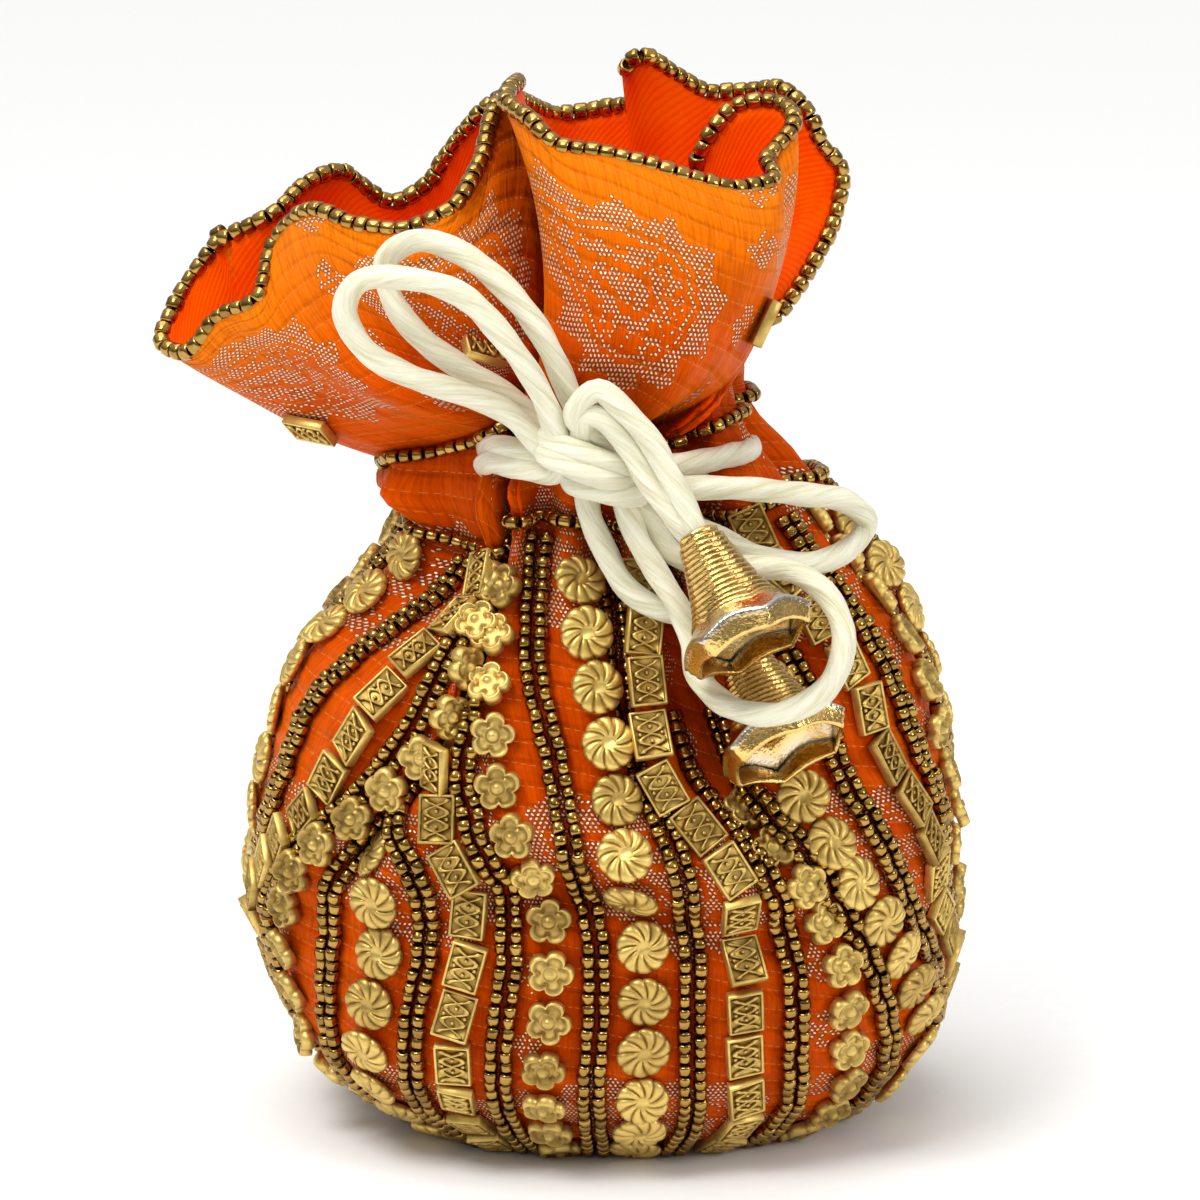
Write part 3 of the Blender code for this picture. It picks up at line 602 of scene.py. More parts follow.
@dataclass(frozen=True)
class GoldFinish:
    """Gold-coloured plating, each bead a little lighter or darker than the next."""

    name: str
    light: str
    dark: str
    roughness: float
    metallic: float
    grain: float                     # size of the surface grain in millimetres
    grain_height: float
    oxide_and_shade: float                     # how much of the dark colour is laid in hollows: painted shade, and in the bell's grooves also oxide
    worn: str = ""                   # colour of the metal under the plating, at rubbed edges
    cloud: float = 2.6               # size of the lighter and darker clouds in millimetres
    hollow_reach: float = 1.2

    def make(self) -> bpy.types.Material:
        """Build the material.

        Returns:
            The material.
        """
        material, tree = new_material(self.name)
        node = partial(add_node, tree)
        place = node("ShaderNodeTexCoord").outputs["Object"]
        tone = node("ShaderNodeAttribute", {"attribute_name": "bead_tone"})
        grain = node("ShaderNodeTexNoise", None, {
            0: place, "Scale": 1.0 / (self.grain * MM), "Detail": 3.0})
        cloud = node("ShaderNodeTexNoise", None, {
            0: place, "Scale": 1.0 / (self.cloud * MM), "Detail": 2.0})
        # Darker in hollows: painted shade, and on the bell also oxide in its grooves
        hollow_shade = node("ShaderNodeAmbientOcclusion", {"samples": 4, "only_local": True}, {
            "Distance": self.hollow_reach * MM})
        oxide_and_shade_share = node("ShaderNodeMapRange", None, {
            0: hollow_shade.outputs["AO"], 1: 0.35, 2: 0.95, 3: self.oxide_and_shade, 4: 0.0})
        clouds = node("ShaderNodeMapRange", None, {
            0: cloud, 1: 0.35, 2: 0.7, 3: -0.1, 4: 0.22})
        wear = node("ShaderNodeAttribute", {"attribute_name": "edge_wear"})
        colour = linear(self.light)
        for share, over in (((ADD, tone.outputs["Fac"], clouds), self.dark),
                            (wear.outputs["Fac"], self.worn or self.light), (oxide_and_shade_share, self.dark)):
            colour = node("ShaderNodeMix", {"data_type": "RGBA"}, {
                0: share, 6: colour, 7: linear(over)}).outputs[2]
        bump = node("ShaderNodeBump", None, {
            "Strength": 0.6, "Distance": self.grain_height * MM, "Height": grain})
        shader = node("ShaderNodeBsdfPrincipled", None, {
            "Base Color": colour, "Metallic": self.metallic, "Normal": bump,
            "Roughness": node("ShaderNodeMapRange", None, {
                0: grain, 1: 0.3, 2: 0.7, 3: self.roughness * 0.8, 4: self.roughness * 1.25})})
        node("ShaderNodeOutputMaterial", None, {0: shader})
        return material


@dataclass(frozen=True)
class RattailCord:
    """Satin rattail cord: cream rayon strands in a loose twist, with painted greenish-yellow shade
    between them.
    """

    light: str = "F7F5DE"
    middle: str = "E8E4C8"
    # painted shade between the strands
    dark: str = "CEC898"
    lay_length: float = 46.0         # cord for one full turn of a strand

    def make(self) -> bpy.types.Material:
        """Build the material.

        Returns:
            The material.
        """
        material, tree = new_material("rayon rattail cord, twisted")
        node = partial(add_node, tree)
        uv = node("ShaderNodeUVMap", {"uv_map": "cord"})
        axes = node("ShaderNodeSeparateXYZ", None, {0: uv})
        round_it, along = axes.outputs[0], axes.outputs[1]
        # The turn becomes a ring so that the pattern meets itself
        angle = node((MUL, (MULTIPLY_ADD, along, 1.0 / self.lay_length, round_it), TURN))
        ring = node("ShaderNodeCombineXYZ", None, {
            0: ("COSINE", angle), 1: ("SINE", angle), 2: (MUL, along, 0.035)})
        threads = node("ShaderNodeTexNoise", None, {
            0: ring, "Scale": 5.5, "Detail": 4.0, "Roughness": 0.65})
        broad = node("ShaderNodeTexNoise", None, {0: ring, "Scale": 1.7, "Detail": 1.0})
        # The dark end of the ramp is painted shade in the grooves between the strands
        colour = node("ShaderNodeValToRGB", {"stops": [
            (0.33, linear(self.dark)), (0.50, linear(self.middle)), (0.68, linear(self.light))]}, {
            0: (MULTIPLY_ADD, threads, 0.5, (MUL, broad, 0.55))})
        bump = node("ShaderNodeBump", None, {
            "Strength": 0.8, "Distance": 0.45 * MM, "Height": threads})
        shader = node("ShaderNodeBsdfPrincipled", None, {
            "Base Color": colour, "Roughness": 0.38, "Sheen Weight": 0.3, "Sheen Roughness": 0.3,
            "Subsurface Weight": 0.12, "Subsurface Scale": 1.2 * MM, "Normal": bump})
        node("ShaderNodeOutputMaterial", None, {0: shader})
        return material


@dataclass(frozen=True)
class PlainFinish:
    """A plain matt surface, for the base card and the studio floor."""

    name: str
    colour: str
    roughness: float
    grain: float = 0.6

    def make(self) -> bpy.types.Material:
        """Build the material.

        Returns:
            The material.
        """
        material, tree = new_material(self.name)
        node = partial(add_node, tree)
        place = node("ShaderNodeTexCoord").outputs["Object"]
        noise = node("ShaderNodeTexNoise", None, {
            0: place, "Scale": 1.0 / (self.grain * MM), "Detail": 2.0})
        tint = node("ShaderNodeMix", {"data_type": "RGBA", "blend_type": "MULTIPLY"}, {
            0: 0.05, 6: linear(self.colour), 7: noise.outputs[1]})
        shader = node("ShaderNodeBsdfPrincipled", None, {
            "Base Color": tint.outputs[2], "Roughness": self.roughness})
        node("ShaderNodeOutputMaterial", None, {0: shader})
        return material


# Brass plating, tumbled matt: pale gold that spreads the light
MATT_GOLD = GoldFinish("matt gold plating, tumbled", "EBCB74", "7E581A", roughness=0.42,
                       metallic=0.85, grain=0.28, grain_height=0.05, oxide_and_shade=0.85)
# Lacquered bronze plating, glossy: deep gold with near-black reflections
BRONZE = GoldFinish("antique bronze plating, glossy", "B8924A", "4A2E0E", roughness=0.16,
                    metallic=1.0, grain=0.9, grain_height=0.01, oxide_and_shade=0.6)
# Bright brass plating on hammered metal, rubbed through to silver along the edge
BRIGHT_GOLD = GoldFinish("bright brass plating, hammered", "F0C878", "32200A", roughness=0.12,
                         metallic=1.0, grain=0.75, grain_height=0.30, oxide_and_shade=0.95, worn="D8D2C4")


# Cloth form


@dataclass
class Fold:
    """A fold that runs up the cloth: (level, strip place, half width in strips, depth) keys."""

    keys: list[tuple[float, float, float, float]]

    def depth(self, places: np.ndarray, level: float) -> np.ndarray:
        """Depth of the fold.

        Args:
            places: strip places.
            level: height on the belly.

        Returns:
            The depth at each place.
        """
        levels, *columns = zip(*self.keys)
        if level <= levels[0]:
            return np.zeros_like(places)
        middle, half, deep = (float(np.interp(level, levels, column)) for column in columns)
        away = np.abs((places - middle + STRIPS / 2) % STRIPS - STRIPS / 2) / half
        return deep * np.cos(math.pi / 2 * np.clip((away - 0.25) / 0.75, 0, 1)) ** 2


# (Level, half width of the belly); a level is a height on the cloth before it is tilted and lifted
PROFILE = [(0, 36.5), (1.2, 41), (5, 49), (12, 58.6), (22, 67), (35, 70.8), (50, 72.3), (62, 72.6),
           (78, 70.2), (92, 66.5), (104, 61.8), (114, 54.4), (122, 47.4), (129, 43), (136, 40.3),
           (143, 38.7), (150, 37.5)]
# (Level, shift to the right), of the whole ring and, on top of that, of its two sides
LEAN = [(0, 0), (90, 0), (125, -2), (150, -3)]
SIDE_LEAN = [(0, 5.5), (5, 5.2), (12, 4.2), (25, 1.8), (40, 0.6), (55, 0.0), (85, 0.0), (95, 1.5),
             (103, 3.0), (111, 5.0), (120, 6.0), (129, 5.0), (134, 1.5), (141, -3.6), (150, -5.0)]
NECK_LEVEL = 150.0
NECK_TILT = 0.10                 # rise of the neck to the right
DEPTH_RATIO = 0.86               # of the width
SECTION_POWER = 2.3              # 2 is an ellipse, and more is squarer
LOWER_CASING = 131.0             # levels of the bead rows below and above the cords
UPPER_CASING = 149.0
# Where strips 1 to 11 lie round the belly at each level, in even strips from the front middle
LAY_LEVELS = [0, 12, 24, 38, 50, 62, 74, 86, 98, 110, 122, 131, 150]
STRIP_LAY = np.array([
    [-6.3, -5.2, -4.1, -3.0, -1.8, -0.70, 0.45, 1.75, 3.05, 4.40, 5.60],
    [-6.2, -5.1, -4.0, -2.9, -1.72, -0.68, 0.42, 1.63, 2.91, 4.25, 5.45],
    [-5.9, -4.95, -3.88, -2.62, -1.57, -0.64, 0.38, 1.45, 2.65, 4.0, 5.2],
    [-5.6, -4.75, -3.76, -2.40, -1.46, -0.55, 0.38, 1.37, 2.45, 3.42, 4.72],
    [-5.35, -4.55, -3.62, -2.28, -1.34, -0.52, 0.37, 1.33, 2.27, 2.95, 4.05],
    [-5.15, -3.95, -3.28, -2.30, -1.34, -0.59, 0.26, 1.27, 1.95, 2.52, 3.75],
    [-5.0, -3.27, -2.62, -2.45, -1.60, -0.84, 0.16, 0.98, 1.55, 2.16, 3.40],
    [-4.9, -2.89, -2.05, -1.98, -1.70, -1.09, 0.08, 0.56, 1.2, 1.95, 3.14],
    [-4.8, -2.58, -1.70, -1.62, -1.50, -1.22, -0.02, 0.48, 1.05, 1.9, 3.00],
    [-4.55, -2.22, -1.62, -1.56, -1.48, -1.34, -0.14, 0.54, 1.02, 1.8, 2.78],
    [-4.2, -1.90, -1.60, -1.53, -1.45, -1.34, -0.28, 0.60, 1.0, 1.7, 2.58],
    [-4.0, -1.85, -1.60, -1.53, -1.45, -1.32, -0.34, 0.62, 1.0, 1.65, 2.50],
    [-4.0, -1.85, -1.60, -1.53, -1.45, -1.30, -0.36, 0.62, 1.0, 1.65, 2.50]])
FOLDS = [
    Fold([(58, 3.6, .3, 0), (64, 3.7, .4, 4), (72, 3.85, .6, 10), (82, 4.0, .8, 15),
          (92, 4.2, 1.05, 19), (104, 4.4, 1.35, 22), (150, 4.5, 1.45, 17)]),
    Fold([(66, 8.8, .4, 0), (74, 8.9, .6, 6), (84, 9.0, .85, 14), (98, 9.0, .95, 19),
          (130, 9.0, .95, 17), (150, 9.0, .9, 12)]),
    Fold([(76, 7.6, .3, 0), (84, 7.55, .4, 4), (98, 7.5, .45, 7.5), (118, 7.5, .45, 8),
          (132, 7.5, .5, 6), (150, 7.5, .5, 4)]),
    Fold([(102, 6.5, .3, 0), (122, 6.5, .35, 3.5), (132, 6.5, .4, 4.5), (150, 6.5, .4, 3.5)]),
    Fold([(92, 10.55, .4, 0), (108, 10.5, .5, 6), (130, 10.5, .55, 8), (150, 10.5, .55, 6)]),
    Fold([(98, 12.5, .4, 0), (115, 12.5, .6, 6), (130, 12.5, .65, 9), (150, 12.5, .7, 6)]),
    Fold([(98, 14.5, .5, 0), (115, 14.5, .6, 6), (130, 14.5, .65, 9), (150, 14.5, .7, 6)]),
    Fold([(100, 16.5, .5, 0), (125, 16.5, .6, 8), (150, 16.5, .65, 6)]),
    Fold([(92, 18.0, .5, 0), (118, 18.0, .6, 8), (150, 18.0, .65, 6)]),
    Fold([(95, 19.5, .5, 0), (120, 19.5, .6, 8), (150, 19.5, .65, 6)]),
    Fold([(94, 1.5, .4, 0), (112, 1.5, .5, 5), (130, 1.5, .55, 8), (150, 1.5, .55, 6)]),
]
# The rim: (strip place, x, y, z)
RIM = [(0.8, -91.5, 0, 164), (1.1, -86, -8, 162.5), (1.5, -79, -14, 171), (1.9, -70.5, -20, 176),
       (2.3, -68, -12, 186), (2.8, -59.5, -22, 194), (3.25, -50, -30, 192), (3.7, -39.5, -34, 192),
       (4.1, -29.5, -32, 197), (4.5, -24.5, -22, 204), (4.95, -22.5, -12, 212),
       (5.5, -18.5, 0, 217), (6.1, -20, -22, 215), (6.5, -15, -32, 213), (6.9, -9, -37, 209),
       (7.35, 0, -40, 208), (7.8, 9, -42, 206), (8.3, 19, -42, 203), (8.7, 28, -39, 201),
       (9.0, 34.5, -33, 202), (9.3, 33.8, -24, 205), (9.6, 39, -15, 210.5), (9.9, 36, -6, 213.5),
       (10.2, 28, -4, 213), (10.6, 20, -6, 204), (11.2, 28, 2, 187), (12.2, 34, 6, 167),
       (12.8, 43, 12, 178), (13.4, 48, 18, 189), (13.7, 49, 20, 196), (14.1, 44.5, 18, 203),
       (14.5, 42, 17, 210), (14.8, 38, 20, 213.5), (15.2, 31, 26, 213), (15.6, 21, 28, 212.5),
       (15.9, 14, 24, 217), (16.15, 8, 20, 221), (16.4, 5, 22, 218), (16.7, 9, 26, 212),
       (17.1, -1, 34, 208), (17.5, -10, 34, 207), (18.3, -23.5, 16, 212), (18.6, -28, 18, 207),
       (18.9, -33, 22, 200), (19.2, -37, 24, 194), (19.4, -43, 24, 190), (19.8, -52, 20, 194),
       (20.0, -55.5, 16, 197), (20.3, -63, 10, 195), (20.6, -68.5, 4, 190), (20.9, -77, 6, 185),
       (21.15, -82, 7, 181), (21.4, -87, 6, 174), (21.66, -90, 3, 168)]
# The cloth half way up the ruffle: (strip place, x, y, z)
RUFFLE_MIDDLE = [(0.8, -74, -6, 153.5), (1.5, -63, -20, 160.5), (2.3, -54, -32, 167),
                 (2.8, -48, -34, 173), (3.6, -39, -36, 173), (4.2, -30, -36, 175),
                 (4.95, -20, -31, 180), (5.5, -14, -24, 181), (5.9, -11, -17, 178),
                 (6.25, -12, -34, 182), (6.7, -7, -44, 182), (7.4, 4, -50, 182),
                 (8.2, 19, -50, 180), (8.9, 29, -41, 179), (9.5, 33, -25, 179),
                 (10.1, 30, -12, 179), (10.6, 23, -8, 176), (11.5, 25, -2, 169), (12.4, 27, 2, 160),
                 (13.1, 29, 9, 166), (13.8, 31, 17, 172), (14.5, 31, 23, 176), (15.3, 25, 28, 178),
                 (16.1, 12, 32, 178), (17.1, -1, 34, 175), (18.2, -18, 31, 174),
                 (19.2, -35, 27, 167), (19.9, -48, 22, 165), (20.5, -60, 12, 160),
                 (21.2, -70, 3, 154)]


# Extra height or fullness round the pouch: (strip place, millimetres)
BAND_PUFFS = [(0.7, 0.6), (1.1, 3.0), (1.5, 5.0), (2.2, 5.4), (2.9, 3.6), (3.6, 1.2), (4.6, 0.0),
              (5.6, 1.5), (6.1, 4.2), (6.6, 0.4), (7.0, 1.6), (7.6, 0.2), (8.4, 1.6), (9.4, 0.6),
              (10.2, 0.6), (11.2, 0.3), (14, 1.2), (17, 0.8), (19, 1.2)]
SAG = [(0.5, 0.5), (3.0, 0.8), (4.5, 1.2), (5.5, 2.4), (7.2, 3.2), (8.2, 2.6), (9.5, 1.2),
       (11, 0.6), (14, 0.6), (18, 0.8)]
UPPER_LIFT = [(0.0, -5.0), (0.5, -6.5), (1.0, -2.5), (1.5, 1.5), (2.0, 5.0), (3.5, 7.0), (4.4, 4.0),
              (5.4, 0.0), (8.0, 0.0), (10.0, -2.0), (12.0, 0.0), (16.0, 0.0), (19.0, 1.0)]
LOWER_LIFT = [(0.0, 4.0), (0.7, 3.5), (1.05, -0.5), (1.3, -3.0), (1.9, -4.2), (2.8, -4.0),
              (3.9, 0.5), (5.2, 3.5), (6.6, 3.5), (7.6, 1.0), (10.0, 0.0), (12.0, 2.0), (16.0, 0.0)]
LOBES = [(0.6, 0.5), (1.6, 3.5), (2.8, 5.5), (3.8, 3.0), (4.8, 0.0), (5.8, 0.5), (6.6, 5.0),
         (7.6, 7.0), (8.6, 8.0), (9.4, 7.0), (10.2, 3.0), (11.0, 0.0), (12.6, 0.5), (14.0, 2.0),
         (15.5, 4.0), (17.0, 4.0), (18.5, 4.0), (19.8, 2.0)]


def around(where: np.ndarray, table: Sequence[tuple[float, float]]) -> np.ndarray:
    """Values from a table that runs round the pouch.

    Args:
        where: strip places.
        table: (strip place, value) rows.

    Returns:
        One value for each place.
    """
    rows = [(k - STRIPS, v) for k, v in table[-2:]] + [*table]
    rows += [(k + STRIPS, v) for k, v in table[:2]]
    return smooth_keys(*zip(*rows), np.asarray(where, float) % STRIPS)


@dataclass
class ClothForm:
    """The outer cloth's surface: belly, drawn neck and ruffle."""

    columns: int = 420
    body_rows: int = 66
    ruffle_rows: int = 43
    table_columns: int = 24          # columns of the fine table for each strip
    band_level: float = 139.0        # middle of the drawn band between the two casing rows
    band_puff: float = 2.2
    band_half: float = 5.5
    panel_puff: float = 0.55         # of the cloth between two bead columns
    pucker: float = 0.30             # small wrinkles along the sewn columns
    sag_level: float = 62.0
    swell: float = 0.8               # slow waves up the cloth
    hull: tuple[np.ndarray, ...] = field(init=False)
    fine_levels: np.ndarray = field(init=False)
    fine: np.ndarray = field(init=False)

    def __post_init__(self) -> None:
        """Work out the unit section and a fine table of the belly."""
        turn = np.linspace(0.0, TURN, 2881)
        reach = (np.abs(np.sin(turn)) ** SECTION_POWER
                 + np.abs(np.cos(turn) / DEPTH_RATIO) ** SECTION_POWER) ** (-1.0 / SECTION_POWER)
        x, y = reach * np.sin(turn), -reach * np.cos(turn)
        arc = np.concatenate([[0.0], np.cumsum(np.hypot(np.diff(x), np.diff(y)))])
        outward = unit(np.stack([np.gradient(y, arc), -np.gradient(x, arc)], axis=1))
        self.hull = (arc / arc[-1], x, y, outward[:, 0], outward[:, 1])
        self.fine_levels = np.linspace(0.0, NECK_LEVEL, 151)
        where = np.arange(STRIPS * self.table_columns) / self.table_columns
        self.fine = np.array([self.body(where, level) for level in self.fine_levels])

    def lay(self, level: float) -> tuple[np.ndarray, np.ndarray]:
        """Where the strips lie round the belly.

        Args:
            level: height on the belly.

        Returns:
            Strip places and their places round the belly, a full turn past both ends.
        """
        known = np.array([smooth_keys(LAY_LEVELS, column, level) for column in STRIP_LAY.T])
        first, last = known[0] + STRIPS, known[-1]
        # The strips behind are spread evenly
        gaps = STRIPS + 1 - len(known)
        back = last + (first - last) * np.arange(1, gaps) / gaps
        full = np.concatenate([known, back, [first]])
        strip = np.arange(1, STRIPS + 2)
        return (np.concatenate([strip - STRIPS, strip[1:], strip[1:] + STRIPS]),
                np.concatenate([full - STRIPS, full[1:], full[1:] + STRIPS]))

    def body(self, where: np.ndarray, level: float) -> np.ndarray:
        """Points of the belly and neck.

        Args:
            where: strip places.
            level: height on the belly.

        Returns:
            One point for each place.
        """
        where = np.asarray(where, float) % STRIPS
        keys, places = self.lay(level)
        share = np.mod(smooth_keys(keys, places, where) / STRIPS, 1.0)
        x, y, nx, ny = (np.interp(share, self.hull[0], column) for column in self.hull[1:])
        half = float(smooth_keys(*zip(*PROFILE), level))
        lean = (np.interp(level, *zip(*LEAN))
                + float(smooth_keys(*zip(*SIDE_LEAN), level)) * np.abs(x) ** 3)
        deep = np.zeros_like(where)
        for fold in FOLDS:
            deep = np.maximum(deep, fold.depth(where, level))
        # The drawn band puffs out between its two bead rows, and panels puff between bead columns
        fuller = around(where, BAND_PUFFS)
        band = math.exp(-((level - self.band_level) / self.band_half) ** 2)
        puff = (self.band_puff + fuller) * band * np.exp(-(deep / 6.0) ** 2)
        calm = float(np.interp(level, [0, 8, 120, 132], [0.0, 1.0, 1.0, 0.2]))
        panel = self.panel_puff * np.cos(TURN * where) * calm
        wrinkle = level * 0.84 + 2.6 * np.sin(where * 2.1) + where * 5.0
        pucker = self.pucker * np.sin(wrinkle) * calm
        # The cloth above sags over the cloth below across the front
        sag_level = self.sag_level + 5.0 * np.sin(where * 1.3)
        drop = around(where, SAG) * (np.exp(-((level - sag_level - 7.0) / 6.5) ** 2)
                                     - np.exp(-((level - sag_level + 5.0) / 5.5) ** 2))
        swell = self.swell * np.sin(level / 8.5 + 2.2 * np.sin(where * 0.9)) * calm
        out = puff + panel + pucker + drop + swell - deep
        across = x * half + lean + nx * out
        tilt = NECK_TILT * float(np.interp(level, [90, NECK_LEVEL], [0.0, 1.0]))
        upper = float(np.interp(level, [128, NECK_LEVEL], [0.0, 1.0]))
        lower = float(np.interp(level, [110, LOWER_CASING, NECK_LEVEL], [0.0, 1.0, 0.4]))
        lift = around(where, UPPER_LIFT) * upper + around(where, LOWER_LIFT) * lower
        return np.stack([across, y * half + ny * out, level + across * tilt + lift], axis=-1)

    def ruffle(self, where: np.ndarray, share: float) -> np.ndarray:
        """Points of the ruffle.

        Args:
            where: strip places.
            share: 0 at the neck, 1 at the rim.

        Returns:
            One point for each place.
        """
        where = np.asarray(where, float) % STRIPS
        curves = []
        for table in (RUFFLE_MIDDLE, RIM):
            keys = np.array([row[0] for row in table])
            points = np.array([row[1:] for row in table], float)
            keys = np.concatenate([keys[-3:] - STRIPS, keys, keys[:3] + STRIPS])
            points = np.concatenate([points[-3:], points, points[:3]])
            curves.append(round_curve(keys, points, where))
        middle, rim = curves
        neck = self.body(where, NECK_LEVEL)
        t = share
        # A parabola from the neck through the middle to the rim
        points = (neck * ((1 - t) * (1 - 2 * t)) + middle * (4 * t * (1 - t))
                  + rim * (t * (2 * t - 1)))
        # Lobes round out just above the neck, away from its middle
        away = points - np.array([-3.0, -3.0, 0.0])
        away[:, 2] = 0.0
        full = around(where, LOBES) * (14.9 * t * (1 - t) ** 5)
        return points + unit(away) * full[:, None]

    def rows(self, columns: int, body_rows: int, ruffle_rows: int) -> list[np.ndarray]:
        """Rows of points from the bottom's middle to the rim.

        Args:
            columns: points in each row.
            body_rows: rows on the belly and neck.
            ruffle_rows: rows on the ruffle.

        Returns:
            The rows, the first being the bottom's innermost ring.
        """
        where = np.arange(columns) * STRIPS / columns
        edge = self.body(where, 0.0)
        middle = edge.mean(axis=0)
        rows = [middle + (edge - middle) * share for share in (0.04, 0.35, 0.7, 0.93)]
        # Rows lie a little closer together near the bottom
        even = np.linspace(0.0, 1.0, body_rows)
        rows += [self.body(where, level) for level in NECK_LEVEL * (0.88 * even + 0.12 * even ** 2)]
        rows += [self.ruffle(where, share) for share in np.linspace(0.0, 1.0, ruffle_rows + 1)[1:]]
        return rows

    @staticmethod
    def normals(rows: list[np.ndarray]) -> np.ndarray:
        """Outward normals of a grid of rows."""
        grid = np.array(rows)
        across = np.roll(grid, -1, axis=1) - np.roll(grid, 1, axis=1)
        up = np.gradient(grid, axis=0)
        return unit(np.cross(across, up))

    def spot(self, where: float, level: float) -> Frame:
        """Place and directions on the belly.

        Args:
            where: strip place.
            level: height on the belly.

        Returns:
            The point, and unit vectors across, up and out.
        """
        row = min(max(level, 0.5), NECK_LEVEL - 1.5)
        low = int(row)
        part = row - low
        grid = self.fine[low] * (1 - part) + self.fine[low + 1] * part
        place = (where % STRIPS) * self.table_columns
        column = int(place)
        share = place - column
        count = grid.shape[0]
        point = grid[column % count] * (1 - share) + grid[(column + 1) % count] * share
        across = grid[(column + 4) % count] - grid[(column - 3) % count]
        above, below = self.fine[low + 1], self.fine[max(low - 1, 0)]
        up = unit(above[column % count] - below[column % count])
        out = unit(np.cross(across, up))
        return point, unit(np.cross(up, out)), up, out


@dataclass
class Cloth:
    """Outer brocade and satin lining, made from one form."""

    form: ClothForm
    brocade_thickness: float = 1.1
    lining_gap: float = 1.5          # cloth's outside to the lining's outside
    rim_gap: float = 1.1             # the same at the rim, where both are sewn together
    lining_thickness: float = 0.45
    base_top: float = 4.3            # level of the lining's bottom, which lies on the base card
    brocade_flat: tuple[float, float] = (0.43, 0.235)    # cut sizes in metres
    satin_flat: tuple[float, float] = (0.42, 0.23)

    def grid_object(self, name: str, rows: list[np.ndarray]) -> bpy.types.Object:
        """A cloth surface with a closed bottom and its own map in millimetres.

        Args:
            name: the object's name.
            rows: rows of points from the bottom up.

        Returns:
            The object.
        """
        count = rows[0].shape[0]
        verts = np.concatenate([rows[0].mean(axis=0)[None]] + rows)
        faces = [(0, 1 + (i + 1) % count, 1 + i) for i in range(count)]
        obj = mesh_object(name, verts, faces + ring_faces(1, count, len(rows)))
        steps = np.linalg.norm(np.diff(np.array(rows), axis=0), axis=2).mean(axis=1)
        up = np.concatenate([[0.0], np.cumsum(steps)])
        neck = int(np.argmin([abs(row[:, 2].mean() - NECK_LEVEL) for row in rows]))
        up -= up[neck]
        layer = obj.data.uv_layers.new(name="cloth_mm")
        corner_verts = np.empty(len(obj.data.loops), int)
        sizes = np.empty(len(obj.data.polygons), int)
        obj.data.loops.foreach_get("vertex_index", corner_verts)
        obj.data.polygons.foreach_get("loop_total", sizes)
        row, column = np.divmod(corner_verts - 1, count)
        flat = np.stack([column * STRIPS / count, up[np.clip(row, 0, len(rows) - 1)]], axis=1)
        # A face that closes the ring runs on past the last strip
        face_of = np.repeat(np.arange(len(sizes)), sizes)
        highest = np.zeros(len(sizes))
        np.maximum.at(highest, face_of, flat[:, 0])
        wrapped = (highest[face_of] > STRIPS * 0.75) & (flat[:, 0] < STRIPS * 0.25)
        flat[wrapped, 0] += STRIPS
        flat[:, 0] *= STRIP_PITCH
        layer.data.foreach_set("uv", flat.astype(np.float32).ravel())
        return obj

    def make(self, brocade: bpy.types.Material, satin: bpy.types.Material) -> None:
        """Build both cloths.

        Args:
            brocade: finish of the outer cloth.
            satin: finish of the lining.
        """
        form = self.form
        rows = form.rows(form.columns, form.body_rows, form.ruffle_rows)
        outer = self.grid_object("brocade_cloth", rows)
        apply_modifier(outer, "SOLIDIFY", thickness=self.brocade_thickness * MM, offset=-1.0)
        dress(outer, brocade, "brocade", "brocade_shell")

        body_rows, ruffle_rows = 52, 30
        rows = form.rows(form.columns // 2, body_rows, ruffle_rows)
        inner = []
        for j, (row, normals) in enumerate(zip(rows, form.normals(rows))):
            near_rim = np.interp(j, [len(rows) - 10, len(rows) - 1], [0.0, 1.0])
            gap = self.lining_gap + (self.rim_gap - self.lining_gap) * near_rim
            points = row - normals * gap
            if j < body_rows:
                points[:, 2] = np.maximum(points[:, 2], self.base_top)
            inner.append(points)
        lining = self.grid_object("satin_lining_cloth", inner)
        apply_modifier(lining, "SOLIDIFY", thickness=self.lining_thickness * MM, offset=-1.0)
        dress(lining, satin, "satin", "satin_lining")


# Beads


class Motif(Enum):
    """Kinds of motif strip, in their order round the pouch."""

    FLOWER = 0
    SWIRL = 1
    TILE = 2


@dataclass
class Bead:
    """One kind of bead, modelled once; copies of its mesh make the strings."""

    verts: np.ndarray
    faces: list[tuple[int, ...]]

    @classmethod
    def from_object(cls, obj: bpy.types.Object) -> "Bead":
        """Take the mesh of an object and remove the object."""
        settle(obj)
        verts = np.array([v.co for v in obj.data.vertices]) / MM
        faces = [tuple(p.vertices) for p in obj.data.polygons]
        bpy.data.objects.remove(obj, do_unlink=True)
        return cls(verts, faces)


